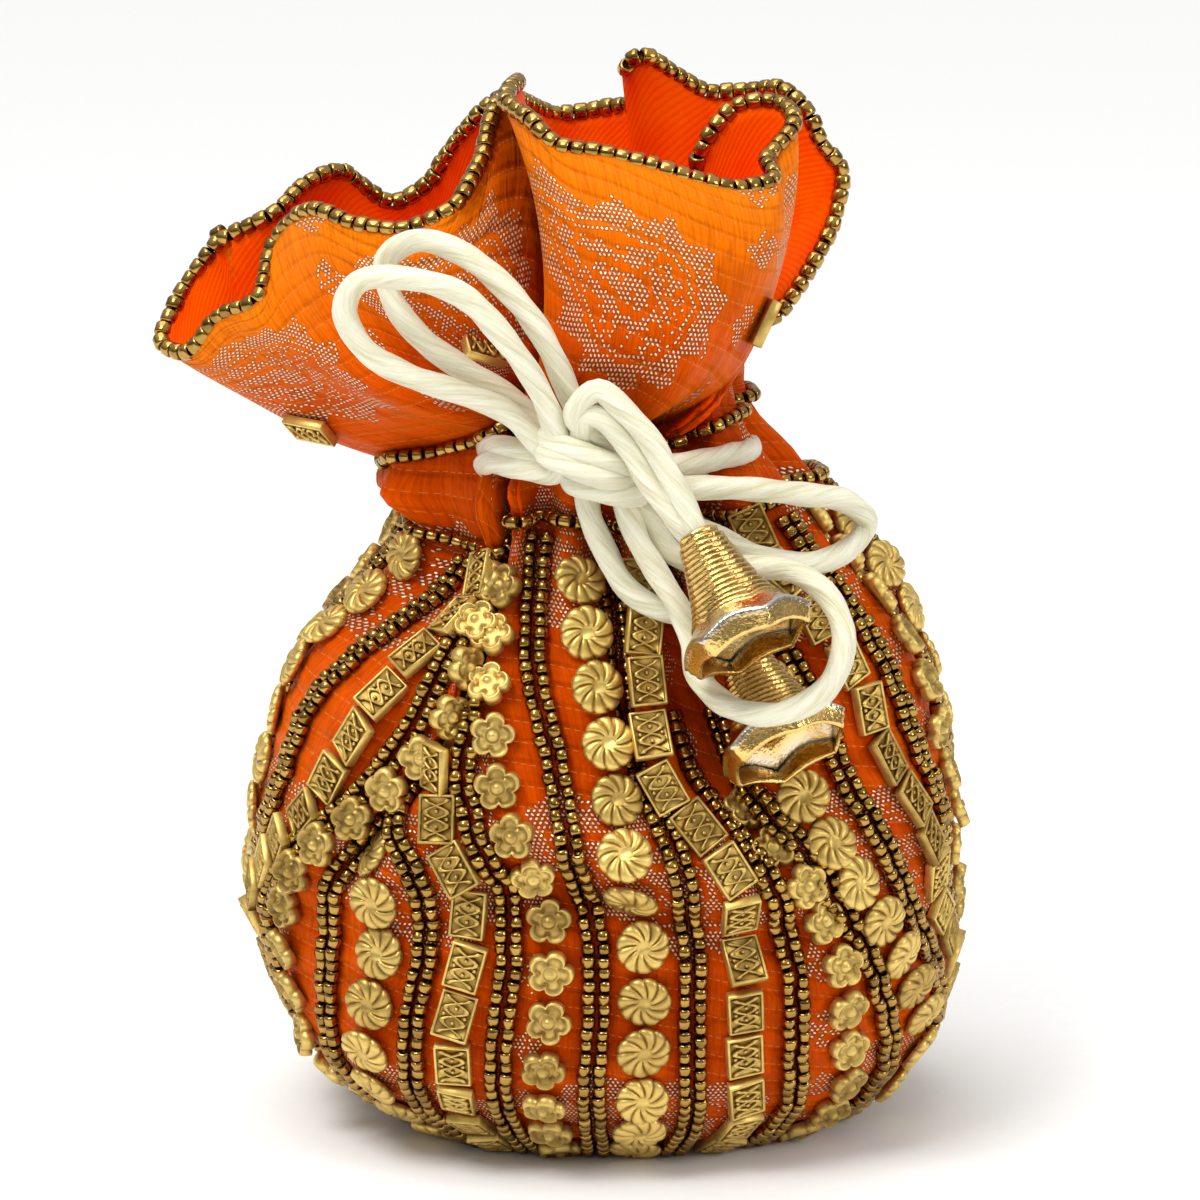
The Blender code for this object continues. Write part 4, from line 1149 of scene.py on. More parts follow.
@dataclass
class BeadShop:
    """Models the four kinds of bead, each lying in the X-Y plane with its string along Y."""

    seed_radius: float = 1.42
    seed_height: float = 2.5
    swirl_radius: float = 5.5
    swirl_petals: int = 10
    swirl_twist: float = 38.0        # of the petals from the middle to the edge, in degrees
    tile_width: float = 7.4
    tile_height: float = 9.9
    tile_thickness: float = 2.2
    flower_radius: float = 4.75

    @staticmethod
    def blank(sides: int, radius: float, depth: float) -> bpy.types.Object:
        """A flat round blank.

        Args:
            sides: corners round it.
            radius: its radius.
            depth: its thickness.

        Returns:
            The blank.
        """
        bpy.ops.object.select_all(action="DESELECT")
        bpy.ops.mesh.primitive_cylinder_add(vertices=sides, radius=radius * MM, depth=depth * MM)
        return bpy.context.object

    @staticmethod
    def emboss(blank: bpy.types.Object, widths: Iterable[float],
               shape: Callable[[float, float, float], Point]) -> Bead:
        """Cut the top of a blank into rings and move every point.

        Args:
            blank: the blank.
            widths: width of each ring, from the edge.
            shape: takes a point's distance, angle and height and gives the new ones.

        Returns:
            The bead.
        """
        select_faces(blank, lambda p: len(p.vertices) > 4 and p.normal.z > 0)
        for width in widths:
            bpy.ops.mesh.inset(thickness=width * MM)
        bpy.ops.object.mode_set(mode="OBJECT")
        for v in blank.data.vertices:
            x, y, z = v.co / MM
            far, angle, z = shape(math.hypot(x, y), math.atan2(y, x), z)
            v.co = Vector((far * math.cos(angle), far * math.sin(angle), z)) * MM
        return Bead.from_object(blank)

    def seed(self, sides: int) -> Bead:
        """A rounded barrel with a dimple at each end.

        Args:
            sides: corners round the barrel.

        Returns:
            The bead.
        """
        obj = self.blank(sides, self.seed_radius, self.seed_height)
        select_faces(obj, lambda p: len(p.vertices) > 4)
        bpy.ops.mesh.bevel(offset=0.5 * MM, segments=1 if sides < 10 else 2)
        bpy.ops.object.mode_set(mode="OBJECT")
        select_faces(obj, lambda p: len(p.vertices) > 4)
        bpy.ops.mesh.inset(thickness=0.42 * MM)
        bpy.ops.object.mode_set(mode="OBJECT")
        for polygon in obj.data.polygons:
            if len(polygon.vertices) > 4:
                for v in polygon.vertices:
                    obj.data.vertices[v].co.z *= 0.55
        obj.rotation_euler = (math.radians(90.0), 0.0, 0.0)
        return Bead.from_object(obj)

    def swirl(self) -> Bead:
        """A rosette of twisted, rounded petals round a flat middle.

        Returns:
            The bead.
        """
        radius, petals = self.swirl_radius, self.swirl_petals
        phases = (0.0, 0.07, 0.26, 0.5, 0.74, 0.93)    # places of a petal's six corners

        def petal(far: float, angle: float, z: float) -> Point:
            share = far / radius
            place = angle * petals / TURN
            phase = phases[round((place - math.floor(place)) * 6.0) % 6]
            angle = (math.floor(place + 1e-4) + phase) * TURN / petals
            crown = (1.0 - (2.0 * phase - 1.0) ** 2) ** 0.4
            angle += math.radians(self.swirl_twist) * max(0.0, share - 0.25) ** 0.8
            if share > 0.9:
                far *= 0.93 + 0.09 * crown
            if z > 0:
                swell = float(np.interp(share, [0.25, 0.32, 0.55, 0.85, 0.94, 1.0],
                                        [0.0, 0.55, 1.0, 0.95, 0.7, 0.0]))
                z = float(np.interp(share, [0.0, 0.26, 0.5, 0.94, 1.0],
                                    [1.0, 1.0, 0.55, 0.15, -0.1])) + swell * crown
            else:
                far *= 0.9
            return far, angle, z

        blank = self.blank(petals * len(phases), radius, 1.6)
        return self.emboss(blank, (0.35, 0.75, 0.95, 0.95, 0.75, 0.3), petal)

    def flower(self) -> Bead:
        """Five rounded petals inside one raised outline, about a raised eye.

        Returns:
            The bead.
        """
        radius = self.flower_radius
        shares = (1.0, 0.94, 0.84, 0.76, 0.58, 0.42, 0.34, 0.27, 0.14)    # rings, as shares of it
        heights = (0.6, 1.65, 1.75, 0.5, 0.55, 0.85, 1.5, 0.9, 2.2)

        def petal(far: float, angle: float, z: float) -> Point:
            share = far / radius
            lobe = abs(math.cos(2.5 * angle))
            far *= 1.0 - float(np.interp(share, [0.3, 0.8], [0.0, 0.30])) * (1.0 - lobe ** 0.6)
            if z > 0:
                z = float(np.interp(share, [0.0, *reversed(shares)], [2.4, *reversed(heights)]))
                if 0.5 < share < 0.65:
                    z += 0.85 * lobe
            return far, angle, z

        widths = ((before - after) * radius for before, after in zip(shares, shares[1:]))
        return self.emboss(self.blank(40, radius, 1.5), widths, petal)

    def tile(self) -> Bead:
        """A rectangular bead with a raised border and interlaced ridges.

        Returns:
            The bead.
        """
        wide, high, thick = self.tile_width, self.tile_height, self.tile_thickness
        bpy.ops.object.select_all(action="DESELECT")
        bpy.ops.mesh.primitive_cube_add(size=1.0, scale=(wide * MM, high * MM, thick * MM))
        block = bpy.context.object
        settle(block)
        select_faces(block, lambda p: p.normal.z > 0.9)
        bpy.ops.mesh.inset(thickness=0.55 * MM)
        bpy.ops.mesh.extrude_region_move(TRANSFORM_OT_translate={"value": (0.0, 0.0, -0.65 * MM)})
        bpy.ops.object.mode_set(mode="OBJECT")
        apply_modifier(block, "BEVEL", width=0.2 * MM, segments=1, limit_method="ANGLE")
        parts = [block]
        # Two strands that cross, and a ball beside each side of the tile's middle
        reach, swing, steps = high / 2 - 0.95, wide / 2 - 1.35, 14
        level = (thick / 2 - 0.34) * MM
        for strand in (-1.0, 1.0):
            spots = [(strand * swing * math.sin(1.5 * math.pi * (2 * k / steps - 1)),
                      reach * (2 * k / steps - 1)) for k in range(steps + 1)]
            bpy.ops.mesh.primitive_circle_add(
                vertices=6, radius=0.58 * MM, fill_type="NGON",
                rotation=(math.radians(90.0), 0.0, 0.0),
                location=(spots[0][0] * MM, spots[0][1] * MM, level))
            rope = bpy.context.object
            settle(rope)
            bpy.ops.object.mode_set(mode="EDIT")
            bpy.ops.mesh.select_all(action="SELECT")
            for before, after in zip(spots, spots[1:]):
                bpy.ops.mesh.extrude_region_move(TRANSFORM_OT_translate={
                    "value": ((after[0] - before[0]) * MM, (after[1] - before[1]) * MM, 0.0)})
            bpy.ops.mesh.select_all(action="SELECT")
            bpy.ops.mesh.normals_make_consistent(inside=False)
            bpy.ops.object.mode_set(mode="OBJECT")
            parts.append(rope)
        for x, y in ((-2.15, 0.0), (2.15, 0.0), (0.0, 1.55), (0.0, -1.55)):
            bpy.ops.mesh.primitive_ico_sphere_add(subdivisions=1, radius=0.5 * MM,
                                                  location=(x * MM, y * MM, level))
            parts.append(bpy.context.object)
            settle(parts[-1])
        return Bead.from_object(join(parts, "tile_master"))


@dataclass
class Beadwork:
    """Every string of beads on the cloth."""

    form: ClothForm
    matt: bpy.types.Material
    bronze: bpy.types.Material
    dice: random.Random = field(default_factory=lambda: random.Random(21))
    first_level: float = 2.6
    last_level: float = 128.5
    hidden_depth: float = 12.5       # deeper in a closed fold, beads are out of sight and left out
    seed_pitch: float = 2.62
    seed_side: float = 1.62          # of each seed column from the middle of the pair
    seed_lift: float = 1.45
    casing_pitch: float = 2.75
    casing_lift: float = 1.35
    rim_pitch: float = 3.05
    rim_growth: tuple[float, float, float] = (1.26, 1.16, 1.26)    # rim beads against the others

    def string(self, name: str, bead: Bead, frames: list[Frame], turn: float, size: float,
               tilt: float) -> bpy.types.Object:
        """One mesh of bead copies.

        Args:
            name: the object's name.
            bead: the bead.
            frames: place, across, up and out of each copy.
            turn: greatest random turn about the out direction, in degrees.
            size: greatest random change of size, as a share.
            tilt: greatest random tilt, in degrees.

        Returns:
            The object.
        """
        verts, faces, tones = [], [], []
        count = len(bead.verts)
        for n, (place, across, up, out) in enumerate(frames):
            spin = Matrix.Rotation(math.radians(self.dice.uniform(-turn, turn)), 3, "Z")
            lean = Matrix.Rotation(math.radians(self.dice.uniform(-tilt, tilt)), 3, "X")
            roll = Matrix.Rotation(math.radians(self.dice.uniform(-tilt, tilt)), 3, "Y")
            scales = np.array([1.0 + self.dice.uniform(-size, size) for _ in range(3)])
            local = (bead.verts * scales) @ np.array(spin @ lean @ roll).T
            placed = place + local @ np.stack([across, up, out])
            # The lowest beads lie on the floor
            placed[:, 2] = np.maximum(placed[:, 2], 0.0)
            verts.append(placed)
            faces += [tuple(n * count + v for v in face) for face in bead.faces]
            tones.append(self.dice.random() ** 1.6 * 0.5)
        obj = mesh_object(name, np.concatenate(verts), faces)
        layer = obj.data.attributes.new("bead_tone", "FLOAT", "POINT")
        layer.data.foreach_set("value", np.repeat(tones, count).astype(np.float32))
        return obj

    def column(self, where: float, side: float, pitch: float, lift: float,
               start: float) -> list[Frame]:
        """Frames up one column of the belly.

        Args:
            where: strip place.
            side: distance beside it.
            pitch: bead to bead.
            lift: how far bead middles stand off the cloth.
            start: distance of the first bead from the bottom edge.

        Returns:
            A frame for each bead.
        """
        levels = np.arange(self.first_level, self.last_level, 0.5)
        spots = [self.form.spot(where, level) for level in levels]
        line = np.array([p + a * side + o * lift for p, a, _, o in spots])
        arc = distances(line)
        frames = []
        for distance in np.arange(start, arc[-1], pitch):
            level = float(np.interp(distance, arc, levels))
            deep = max(float(fold.depth(np.array([where % STRIPS]), level)[0]) for fold in FOLDS)
            if deep > self.hidden_depth:
                continue
            point, across, up, out = self.form.spot(where, level)
            frames.append((point + across * side + out * lift, across, up, out))
        return frames

    def ring(self, line: np.ndarray, out: np.ndarray, pitch: float) -> list[Frame]:
        """Frames round a closed line.

        Args:
            line: points of the line.
            out: outward direction at each point.
            pitch: bead to bead.

        Returns:
            A frame for each bead, its string along the line.
        """
        spots = even_points(line, pitch, closed=True)
        near = [int(np.argmin(np.linalg.norm(line - spot, axis=1))) for spot in spots]
        frames = []
        for i, spot in enumerate(spots):
            run = unit(spots[(i + 1) % len(spots)] - spots[i - 1])
            away = out[near[i]]
            away = unit(away - run * away.dot(run))
            frames.append((spot, np.cross(run, away), run, away))
        return frames

    def make(self) -> None:
        """Model the beads and sew them all on."""
        shop = BeadShop()
        motifs = {Motif.FLOWER: (shop.flower(), 10.6, 1.25, "flower"),
                  Motif.SWIRL: (shop.swirl(), 11.5, 1.35, "swirl"),
                  Motif.TILE: (shop.tile(), 10.9, 1.35, "tile")}
        for strip in range(STRIPS):
            bead, pitch, lift, word = motifs[Motif(strip % len(Motif))]
            number = strip // len(Motif) + 1
            frames = self.column(strip, 0.0, pitch, lift, pitch * 0.3)
            obj = self.string(f"{word}_beads_{number}", bead, frames, 9.0, 0.03, 11.0)
            dress(obj, self.matt, "motif_beads", f"{word}_strip_{number}")
        seed = shop.seed(8)
        for strip in range(STRIPS):
            frames = []
            for side in (-self.seed_side, self.seed_side):
                frames += self.column(strip + 0.5, side, self.seed_pitch, self.seed_lift,
                                      self.dice.uniform(0.0, 1.2))
            obj = self.string(f"seed_beads_{strip + 1:02d}", seed, frames, 8.0, 0.10, 8.0)
            dress(obj, self.bronze, "seed_beads", f"seed_rows_{strip + 1:02d}")
        self.make_rings(shop)
        self.make_collar(shop.tile())

    def make_rings(self, shop: BeadShop) -> None:
        """Sew the rim strand and the two casing rows.

        Args:
            shop: where the beads are modelled.
        """
        form = self.form
        seed = shop.seed(12)
        where = np.arange(840) * STRIPS / 840
        for name, level in (("lower", LOWER_CASING), ("upper", UPPER_CASING)):
            rows = [form.body(where, level + step) for step in (-1.0, 0.0, 1.0)]
            out = form.normals(rows)[1]
            frames = self.ring(rows[1] + out * self.casing_lift, out, self.casing_pitch)
            obj = self.string(f"{name}_casing_beads", seed, frames, 5.0, 0.10, 6.0)
            dress(obj, self.bronze, "seed_beads", f"{name}_casing_bead_row")
        rows = [form.ruffle(where, share) for share in (0.95, 0.975, 1.0)]
        out = form.normals(rows)[2]
        rise = unit(rows[2] - rows[1])
        seed.verts = seed.verts * np.array(self.rim_growth)
        frames = self.ring(rows[2] + rise * 1.2 - out * 0.8, out, self.rim_pitch)
        obj = self.string("rim_beads", seed, frames, 5.0, 0.12, 6.0)
        dress(obj, self.bronze, "seed_beads", "rim_bead_strand")

    def make_collar(self, tile: Bead) -> None:
        """Sew the three single beads on the ruffle.

        Args:
            tile: the flat bead.
        """
        form = self.form
        # Strip place, share of the ruffle's height, and turns about the out and the up direction
        for label, where, share, turn, roll in (
                ("left_lobe", 0.9, 0.24, 30.0, 0.0), ("front_valley", 4.35, 0.32, 35.0, 78.0),
                ("right_edge", 9.1, 0.42, -10.0, 25.0)):
            near = np.array([where - 0.08, where, where + 0.08])
            low, mid, high = (form.ruffle(near, s) for s in (share - 0.04, share, share + 0.04))
            up = unit(high[1] - low[1])
            out = unit(np.cross(mid[2] - mid[0], up))
            angle = math.radians(turn)
            up = up * math.cos(angle) - np.cross(up, out) * math.sin(angle)
            angle = math.radians(roll)
            out = out * math.cos(angle) + np.cross(up, out) * math.sin(angle)
            frames = [(mid[1] + out * 1.3, np.cross(up, out), up, out)]
            obj = self.string(f"collar_bead_{label}", tile, frames, 4.0, 0.0, 0.0)
            dress(obj, self.matt, "motif_beads", f"collar_tile_{label}")


# Cords and bells


class End(Enum):
    """What a run of cord goes into at its far end."""

    KNOT = "knot"
    BELL = "fitting"


class Lay(Enum):
    """How a run of cord lies."""

    LOOSE = "loose"
    HANGING = "hanging"
    TAUT = "taut"


@dataclass
class Cordage:
    """The two satin cords, tied in a bow, as runs of one twisted tube each."""

    material: bpy.types.Material
    diameter: float = 4.8
    sides: int = 20
    step: float = 1.1
    strands: int = 4
    lay_length: float = 46.0         # cord for one full turn of a strand

    def tube(self, name: str, points: Sequence[Point]) -> tuple[bpy.types.Object, np.ndarray]:
        """A twisted tube along a smooth line.

        Args:
            name: the object's name.
            points: given points of the line.

        Returns:
            The object and the line that it follows.
        """
        keys = np.array(points, float)
        chords = np.linalg.norm(np.diff(keys, axis=0), axis=1)
        spans = np.concatenate([[0.0], np.cumsum(chords ** 0.5)])
        line = round_curve(spans, keys, np.linspace(0.0, spans[-1], 40 * len(points)))
        line = even_points(line, self.step)
        tangents = unit(np.gradient(line, axis=0))
        side = unit(np.cross(tangents[0], np.array([0.31, 0.87, 0.38])))
        sides, radius = self.sides, self.diameter / 2.0
        angles = np.arange(sides) * TURN / sides
        verts = []
        for n, (place, run) in enumerate(zip(line, tangents)):
            side = unit(side - run * side.dot(run))
            other = np.cross(run, side)
            twist = TURN * n * self.step / self.lay_length
            lobes = 1.0 + 0.055 * np.cos(self.strands * (angles + twist))
            flat = 1.0 + 0.035 * math.sin(n * 0.21)
            verts.append(place + np.outer(np.cos(angles) * lobes * radius * flat, side)
                         + np.outer(np.sin(angles) * lobes * radius / flat, other))
        count = len(line)
        faces = ring_faces(0, sides, count)
        faces.append(tuple(reversed(range(sides))))
        faces.append(tuple(range((count - 1) * sides, count * sides)))
        obj = mesh_object(name, np.concatenate(verts), faces)
        layer = obj.data.uv_layers.new(name="cord")
        for polygon in obj.data.polygons:
            corners = list(polygon.loop_indices)
            numbers = [obj.data.loops[c].vertex_index for c in corners]
            turns = [v % sides / sides for v in numbers]
            if max(turns) - min(turns) > 0.5 and len(corners) == 4:
                turns = [t + 1.0 if t < 0.5 else t for t in turns]
            for corner, number, turn in zip(corners, numbers, turns):
                layer.data[corner].uv = (turn, number // sides * self.step)
        return obj, line

    def run(self, name: str, points: Sequence[Point], far_end: End, lay: Lay, *nodes: str,
            bell: Optional[bpy.types.Object] = None) -> None:
        """Make one run of cord.

        Args:
            name: the object's name.
            points: given points of the line, from its exit.
            far_end: not used.
            lay: not used.
            nodes: CAD nodes that it stands for.
            bell: not used.
        """
        obj, line = self.tube(name, points)
        dress(obj, self.material, "satin_cord", *nodes)

    def wrap(self, name: str, middle: Point, long: float, deep: float, slope: float) -> None:
        """One turn of cord round the knot.

        Args:
            name: the object's name.
            middle: middle of the turn.
            long: half size along the knot.
            deep: half size front to back.
            slope: fall of the knot from left to right, in degrees.
        """
        down = math.radians(slope)
        along = np.array([math.cos(down), 0.0, -math.sin(down)])
        back = np.array([0.0, 1.0, 0.0])
        turns = np.linspace(0.56 * math.pi, 2.44 * math.pi, 17)
        points = [np.array(middle) + along * (long * math.cos(t)) + back * (deep * math.sin(t))
                  for t in turns]
        self.run(name, points, End.KNOT, Lay.TAUT)

    def make(self, front_bell: bpy.types.Object, rear_bell: bpy.types.Object) -> None:
        """Lay every run of both cords.

        Args:
            front_bell: bell cap on the right cord.
            rear_bell: bell cap on the left cord.
        """
        self.run("left_cord_back_loop", [
            (-24, -24, 146.5), (-22.8, -32, 148), (-20.8, -39, 149.2), (-17, -44, 149.3),
            (-12, -46.5, 148.6), (-7, -47.5, 149.5), (-5, -48, 154), (-8, -50, 164),
            (-13, -53, 175), (-20, -54, 184), (-28, -52, 190), (-37, -48, 192), (-43, -46, 188),
            (-42, -46, 180), (-36, -46, 172), (-28, -45, 166), (-20, -44.5, 161),
            (-13, -44.5, 155), (-7, -46, 148)], End.KNOT, Lay.LOOSE, "left_cord")
        self.run("left_cord_front_loop", [
            (-24, -24, 142.5), (-24, -32, 144.5), (-21.8, -39.5, 146.2), (-17, -45, 146.2),
            (-10, -49.5, 146), (-7.5, -52, 149), (-9.5, -54.5, 155), (-13, -57, 164),
            (-20, -60, 175), (-28, -60, 183), (-39, -58, 186), (-48, -56, 185), (-51, -54, 179),
            (-47, -53, 171), (-39, -52, 166), (-28, -51, 162), (-19, -50.5, 158), (-13, -51, 152),
            (-6, -50, 146)], End.KNOT, Lay.LOOSE)
        self.run("left_cord_tail", [
            (-4, -47, 145), (-3, -48, 137), (0, -48.5, 130), (4, -50, 123), (10, -51.5, 119),
            (17, -51.5, 117.5), (24.4, -51.2, 115)], End.BELL, Lay.HANGING, bell=rear_bell)
        self.run("right_cord_side_loop", [
            (30, -12, 144.5), (29, -22, 145.3), (25, -31, 146), (20, -38.5, 146.3),
            (13, -44.5, 146.4), (7, -47.8, 145.8), (7.5, -51.5, 143.8), (14, -51.3, 143.3),
            (26, -48, 142.5), (39, -41, 140), (49, -34, 137), (53, -31, 132), (49, -33, 127),
            (40, -40, 125.5), (30, -43.5, 128), (20, -44, 133), (11, -45.5, 135.5), (5, -47, 141)],
            End.KNOT, Lay.LOOSE, "right_cord")
        self.run("right_cord_low_loop", [
            (19, -24, 140), (18.5, -32.5, 140.6), (16, -40, 141.3), (11.5, -45.8, 142),
            (4, -50, 142.5), (6, -51.5, 134), (10, -53.5, 127), (14.5, -58.5, 120.5),
            (17, -60.7, 114.5), (18.2, -63, 108.2), (24, -71, 103.6), (33, -77.8, 103.4),
            (41, -75, 106), (45.5, -68.5, 110), (47, -62, 116), (44, -57, 122.5), (37, -52, 126.5),
            (28, -50, 127), (19, -50, 127.5), (13, -49.5, 130), (8, -48, 137), (4, -49, 142)],
            End.KNOT, Lay.HANGING)
        self.run("right_cord_tail_outer", [
            (4, -50, 149), (-2, -53.5, 154), (-6.1, -56, 158.6), (-1.4, -58.3, 163.9),
            (3.9, -59.3, 159.9), (9.2, -60.2, 153.7), (12.6, -61.2, 147.4), (15.6, -62.2, 141.8),
            (18.4, -63.8, 135.8)], End.BELL, Lay.HANGING, bell=front_bell)
        self.run("right_cord_tail_inner", [
            (-3.9, -52.5, 151), (-4.6, -55, 155.4), (-2.9, -57, 158.8), (0.4, -57.8, 157.6),
            (4.5, -58, 152.8), (8.4, -59.5, 146.3), (13.1, -61.5, 140), (17.4, -63.0, 135.0)],
            End.BELL, Lay.HANGING, bell=front_bell)
        self.wrap("bow_knot_upper_wrap", (-3.2, -51.4, 150.6), 8.6, 5.6, 20.0)
        self.wrap("bow_knot_middle_wrap", (-4.0, -51.8, 147.6), 8.2, 5.8, 20.0)
        self.wrap("bow_knot_lower_wrap", (0.0, -50.2, 143.1), 6.8, 5.2, 12.0)


@dataclass
class BellCap:
    """A ringed bell cap with a scalloped mouth on a cord's end."""

    name: str
    node: str
    neck: tuple[float, float, float]
    mouth: tuple[float, float, float]
    length: float = 26.0
    neck_radius: float = 3.9
    rings: int = 14
    wall: float = 0.8
    lobes: int = 6
    sides: int = 96
    # Radius by distance down: the cone, the silver edge, and the textured skirt under it
    flare: tuple[tuple[float, float], ...] = (
        (0.0, 3.9), (5.2, 5.0), (11.7, 6.7), (17.2, 8.8), (19.8, 10.6), (21.6, 12.8), (22.3, 13.0),
        (22.7, 12.5), (23.6, 12.5), (24.5, 12.0), (25.3, 11.9), (26.0, 11.5))

    def outline(self) -> list[tuple[float, float]]:
        """Distance down and radius of each step of the outside.

        Returns:
            The steps, from the neck's edge to the mouth.
        """
        keys, radii = zip(*self.flare)
        steps = [(0.0, self.neck_radius * 0.96), (0.3, self.neck_radius * 1.06),
                 (1.0, self.neck_radius * 1.06), (1.3, self.neck_radius)]
        first, last = 1.6, 18.2      # the ringed part
        pitch = (last - first) / self.rings
        for ring in range(self.rings):
            for part, rise in ((0.0, 0.0), (0.28, 0.46), (0.62, 0.46), (0.9, 0.0)):
                down = first + (ring + part) * pitch
                steps.append((down, float(smooth_keys(keys, radii, down)) + rise))
        for down in (18.6, 19.8, 20.8, *keys[5:]):
            steps.append((down, float(np.interp(down, keys, radii))))
        return steps

    def make(self, material: bpy.types.Material) -> bpy.types.Object:
        """Build the bell.

        Args:
            material: its finish.

        Returns:
            The bell.
        """
        steps = self.outline()
        bpy.ops.object.select_all(action="DESELECT")
        bpy.ops.mesh.primitive_circle_add(vertices=self.sides, radius=steps[0][1] * MM,
                                          fill_type="NOTHING")
        obj = bpy.context.object
        obj.name = self.name
        bpy.ops.object.mode_set(mode="EDIT")
        bpy.ops.mesh.select_all(action="SELECT")
        done = steps[0]
        for down, radius in steps[1:]:
            bpy.ops.mesh.extrude_region_move(
                TRANSFORM_OT_translate={"value": (0.0, 0.0, (down - done[0]) * MM)})
            grow = radius / done[1]
            bpy.ops.transform.resize(value=(grow, grow, 1.0), center_override=(0.0, 0.0, down * MM))
            done = (down, radius)
        bpy.ops.mesh.select_all(action="SELECT")
        bpy.ops.mesh.normals_make_consistent(inside=False)
        bpy.ops.object.mode_set(mode="OBJECT")
        wear = obj.data.attributes.new("edge_wear", "FLOAT", "POINT")
        for v in obj.data.vertices:
            wear.data[v.index].value = float(np.interp(v.co.z / MM, [19.0, 20.6, 22.4, 22.8],
                                                       [0.0, 0.8, 1.0, 0.0]))
        apply_modifier(obj, "SOLIDIFY", thickness=self.wall * MM, offset=-1.0)
        # The edge runs in pointed lobes that reach out and down, and the rings follow it a little
        for v in obj.data.vertices:
            x, y, z = v.co / MM
            point = 1.0 - abs(math.sin(self.lobes / 2.0 * math.atan2(y, x) + 0.4))
            share = float(np.interp(z, [15.0, 22.0, 26.0], [0.0, 1.0, 0.45]))
            swell = 1.0 + share * (0.14 * point - 0.05)
            v.co = Vector((x * swell, y * swell, z + share * (2.0 * point - 1.0))) * MM
        obj = join([obj, self.plug()], self.name)
        axis = Vector(self.mouth) - Vector(self.neck)
        axis.normalize()
        start = (Vector(self.mouth) - axis * self.length) * MM
        turn = axis.to_track_quat("Z", "Y").to_matrix().to_4x4()
        obj.matrix_world = Matrix.Translation(start) @ turn
        settle(obj)
        obj.data.polygons.foreach_set("use_smooth", np.ones(len(obj.data.polygons), bool))
        dress(obj, material, "bell_gold", self.node)
        return obj

    def plug(self) -> bpy.types.Object:
        """The disc that closes the neck round the cord."""
        bpy.ops.mesh.primitive_cylinder_add(vertices=24, radius=(self.neck_radius - 0.3) * MM,
                                            depth=1.6 * MM, location=(0.0, 0.0, 3.2 * MM))
        obj = bpy.context.object
        settle(obj)
        return obj


# Studio


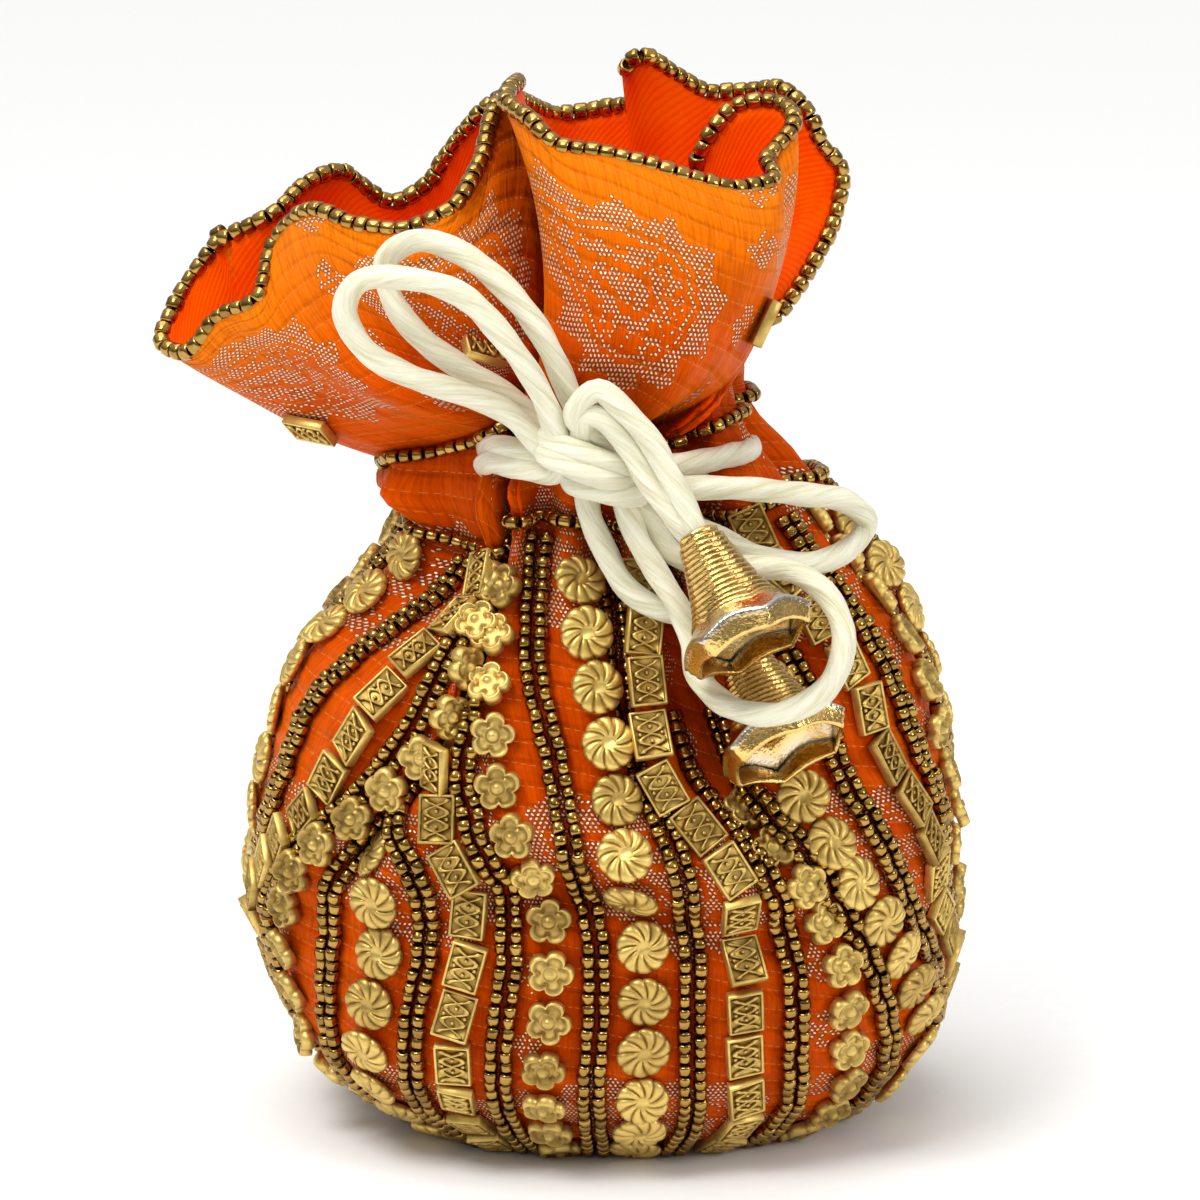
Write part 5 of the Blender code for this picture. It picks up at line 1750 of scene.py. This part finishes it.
@dataclass
class Studio:
    """Camera at the photograph's angle, soft light and a plain pale floor; sizes in metres."""

    elevation: float = 12.0
    distance: float = 1.0
    target: tuple[float, float, float] = (0.0, 0.0, 0.110)
    lens: float = 142.9
    shift: tuple[float, float] = (-0.00417, -0.00167)    # small, for the photograph's framing
    floor_radius: float = 9.0

    def aim(self, lamp: bpy.types.Object, place: Vector) -> None:
        """Put a lamp in its place, turned to the target.

        Args:
            lamp: the lamp.
            place: where it stands, in metres.
        """
        lamp.location = place
        lamp.rotation_euler = (Vector(self.target) - place).to_track_quat("-Z", "Y").to_euler()
        bpy.context.scene.collection.objects.link(lamp)

    def make(self) -> None:
        """Set up the studio."""
        tip = math.radians(self.elevation)
        data = bpy.data.cameras.new("camera")
        data.lens, data.sensor_width = self.lens, 36.0
        data.shift_x, data.shift_y = self.shift
        data.clip_start, data.clip_end = 0.05, 50.0
        camera = bpy.data.objects.new("camera", data)
        back = Vector((0.0, -math.cos(tip), math.sin(tip)))
        camera.location = Vector(self.target) + back * self.distance
        camera.rotation_euler = (-back).to_track_quat("-Z", "Y").to_euler()
        bpy.context.scene.collection.objects.link(camera)
        bpy.context.scene.camera = camera
        bpy.context.scene.view_settings.view_transform = "Standard"

        for name, place, size, power in (
                ("key", (-0.55, -0.60, 1.25), 0.5, 10.5), ("fill", (0.95, -0.55, 0.60), 0.35, 3.2)):
            lamp = bpy.data.lights.new(name, "AREA")
            lamp.energy, lamp.size = power, size
            self.aim(bpy.data.objects.new(name, lamp), Vector(place))
        sky = bpy.data.lights.new("overhead", "SUN")
        sky.energy, sky.angle = 1.15, math.radians(50.0)
        self.aim(bpy.data.objects.new("overhead", sky), Vector((-0.25, 0.10, 1.5)))

        # The room is bright above and behind and dark behind the camera
        world = bpy.data.worlds.new("studio")
        bpy.context.scene.world = world
        world.use_nodes = True
        tree = world.node_tree
        node = partial(add_node, tree)
        tree.nodes.clear()
        direction = node("ShaderNodeTexCoord").outputs["Generated"]
        toward = node("ShaderNodeSeparateXYZ", None, {0: direction})
        above = node("ShaderNodeMapRange", {"interpolation_type": "SMOOTHSTEP"}, {
            0: toward.outputs[2], 1: -0.05, 2: 0.75, 3: 0.08, 4: 0.75})
        behind = node("ShaderNodeMapRange", {"interpolation_type": "SMOOTHSTEP"}, {
            0: toward.outputs[1], 1: -0.2, 2: 0.8, 3: 0.0, 4: 0.45})
        background = node("ShaderNodeBackground", None, {
            0: linear("FFFFFF"), 1: (LARGEST, above, behind)})
        node("ShaderNodeOutputWorld", None, {0: background})

        bpy.ops.mesh.primitive_circle_add(vertices=64, radius=self.floor_radius, fill_type="NGON",
                                          location=(0.0, 0.0, 0.0))
        floor = bpy.context.object
        floor.name = "floor"
        floor.data.materials.append(PlainFinish("pale seamless paper", "FBFBFA", 0.9, 3.0).make())


def make_base_card(material: bpy.types.Material) -> None:
    """The stiff card between the outer cloth and the lining, on which the pouch stands.

    Args:
        material: its finish.
    """
    half, low, thick = 35.0, 1.3, 2.0
    bpy.ops.object.select_all(action="DESELECT")
    bpy.ops.mesh.primitive_cylinder_add(vertices=96, radius=half * MM, depth=thick * MM,
                                        location=(0.0, 0.0, (low + thick / 2) * MM))
    card = bpy.context.object
    card.name = "base_card"
    card.scale.y = DEPTH_RATIO
    settle(card)
    apply_modifier(card, "BEVEL", width=0.3 * MM, segments=1, limit_method="ANGLE")
    dress(card, material, "base_card", "base_disc")


def main() -> None:
    """Build everything in order and log each piece."""
    logging.basicConfig(level=logging.INFO, format="%(name)s %(message)s")
    Studio().make()
    bright = BRIGHT_GOLD.make()
    front = BellCap("front_bell", "bell_cap_front", neck=(18.0, -63.6, 136.3),
                    mouth=(29.0, -75.3, 115.8)).make(bright)
    rear = BellCap("rear_bell", "bell_cap_rear", neck=(25.5, -52.4, 113.8),
                   mouth=(36.5, -68.4, 92.8)).make(bright)
    Cordage(RattailCord().make()).make(front, rear)
    form = ClothForm()
    Cloth(form).make(Brocade().make(), Satin().make())
    Beadwork(form, MATT_GOLD.make(), BRONZE.make()).make()
    make_base_card(PlainFinish("millboard covered in orange cotton", "C8500C", 0.8).make())


if __name__ == "__main__":
    main()
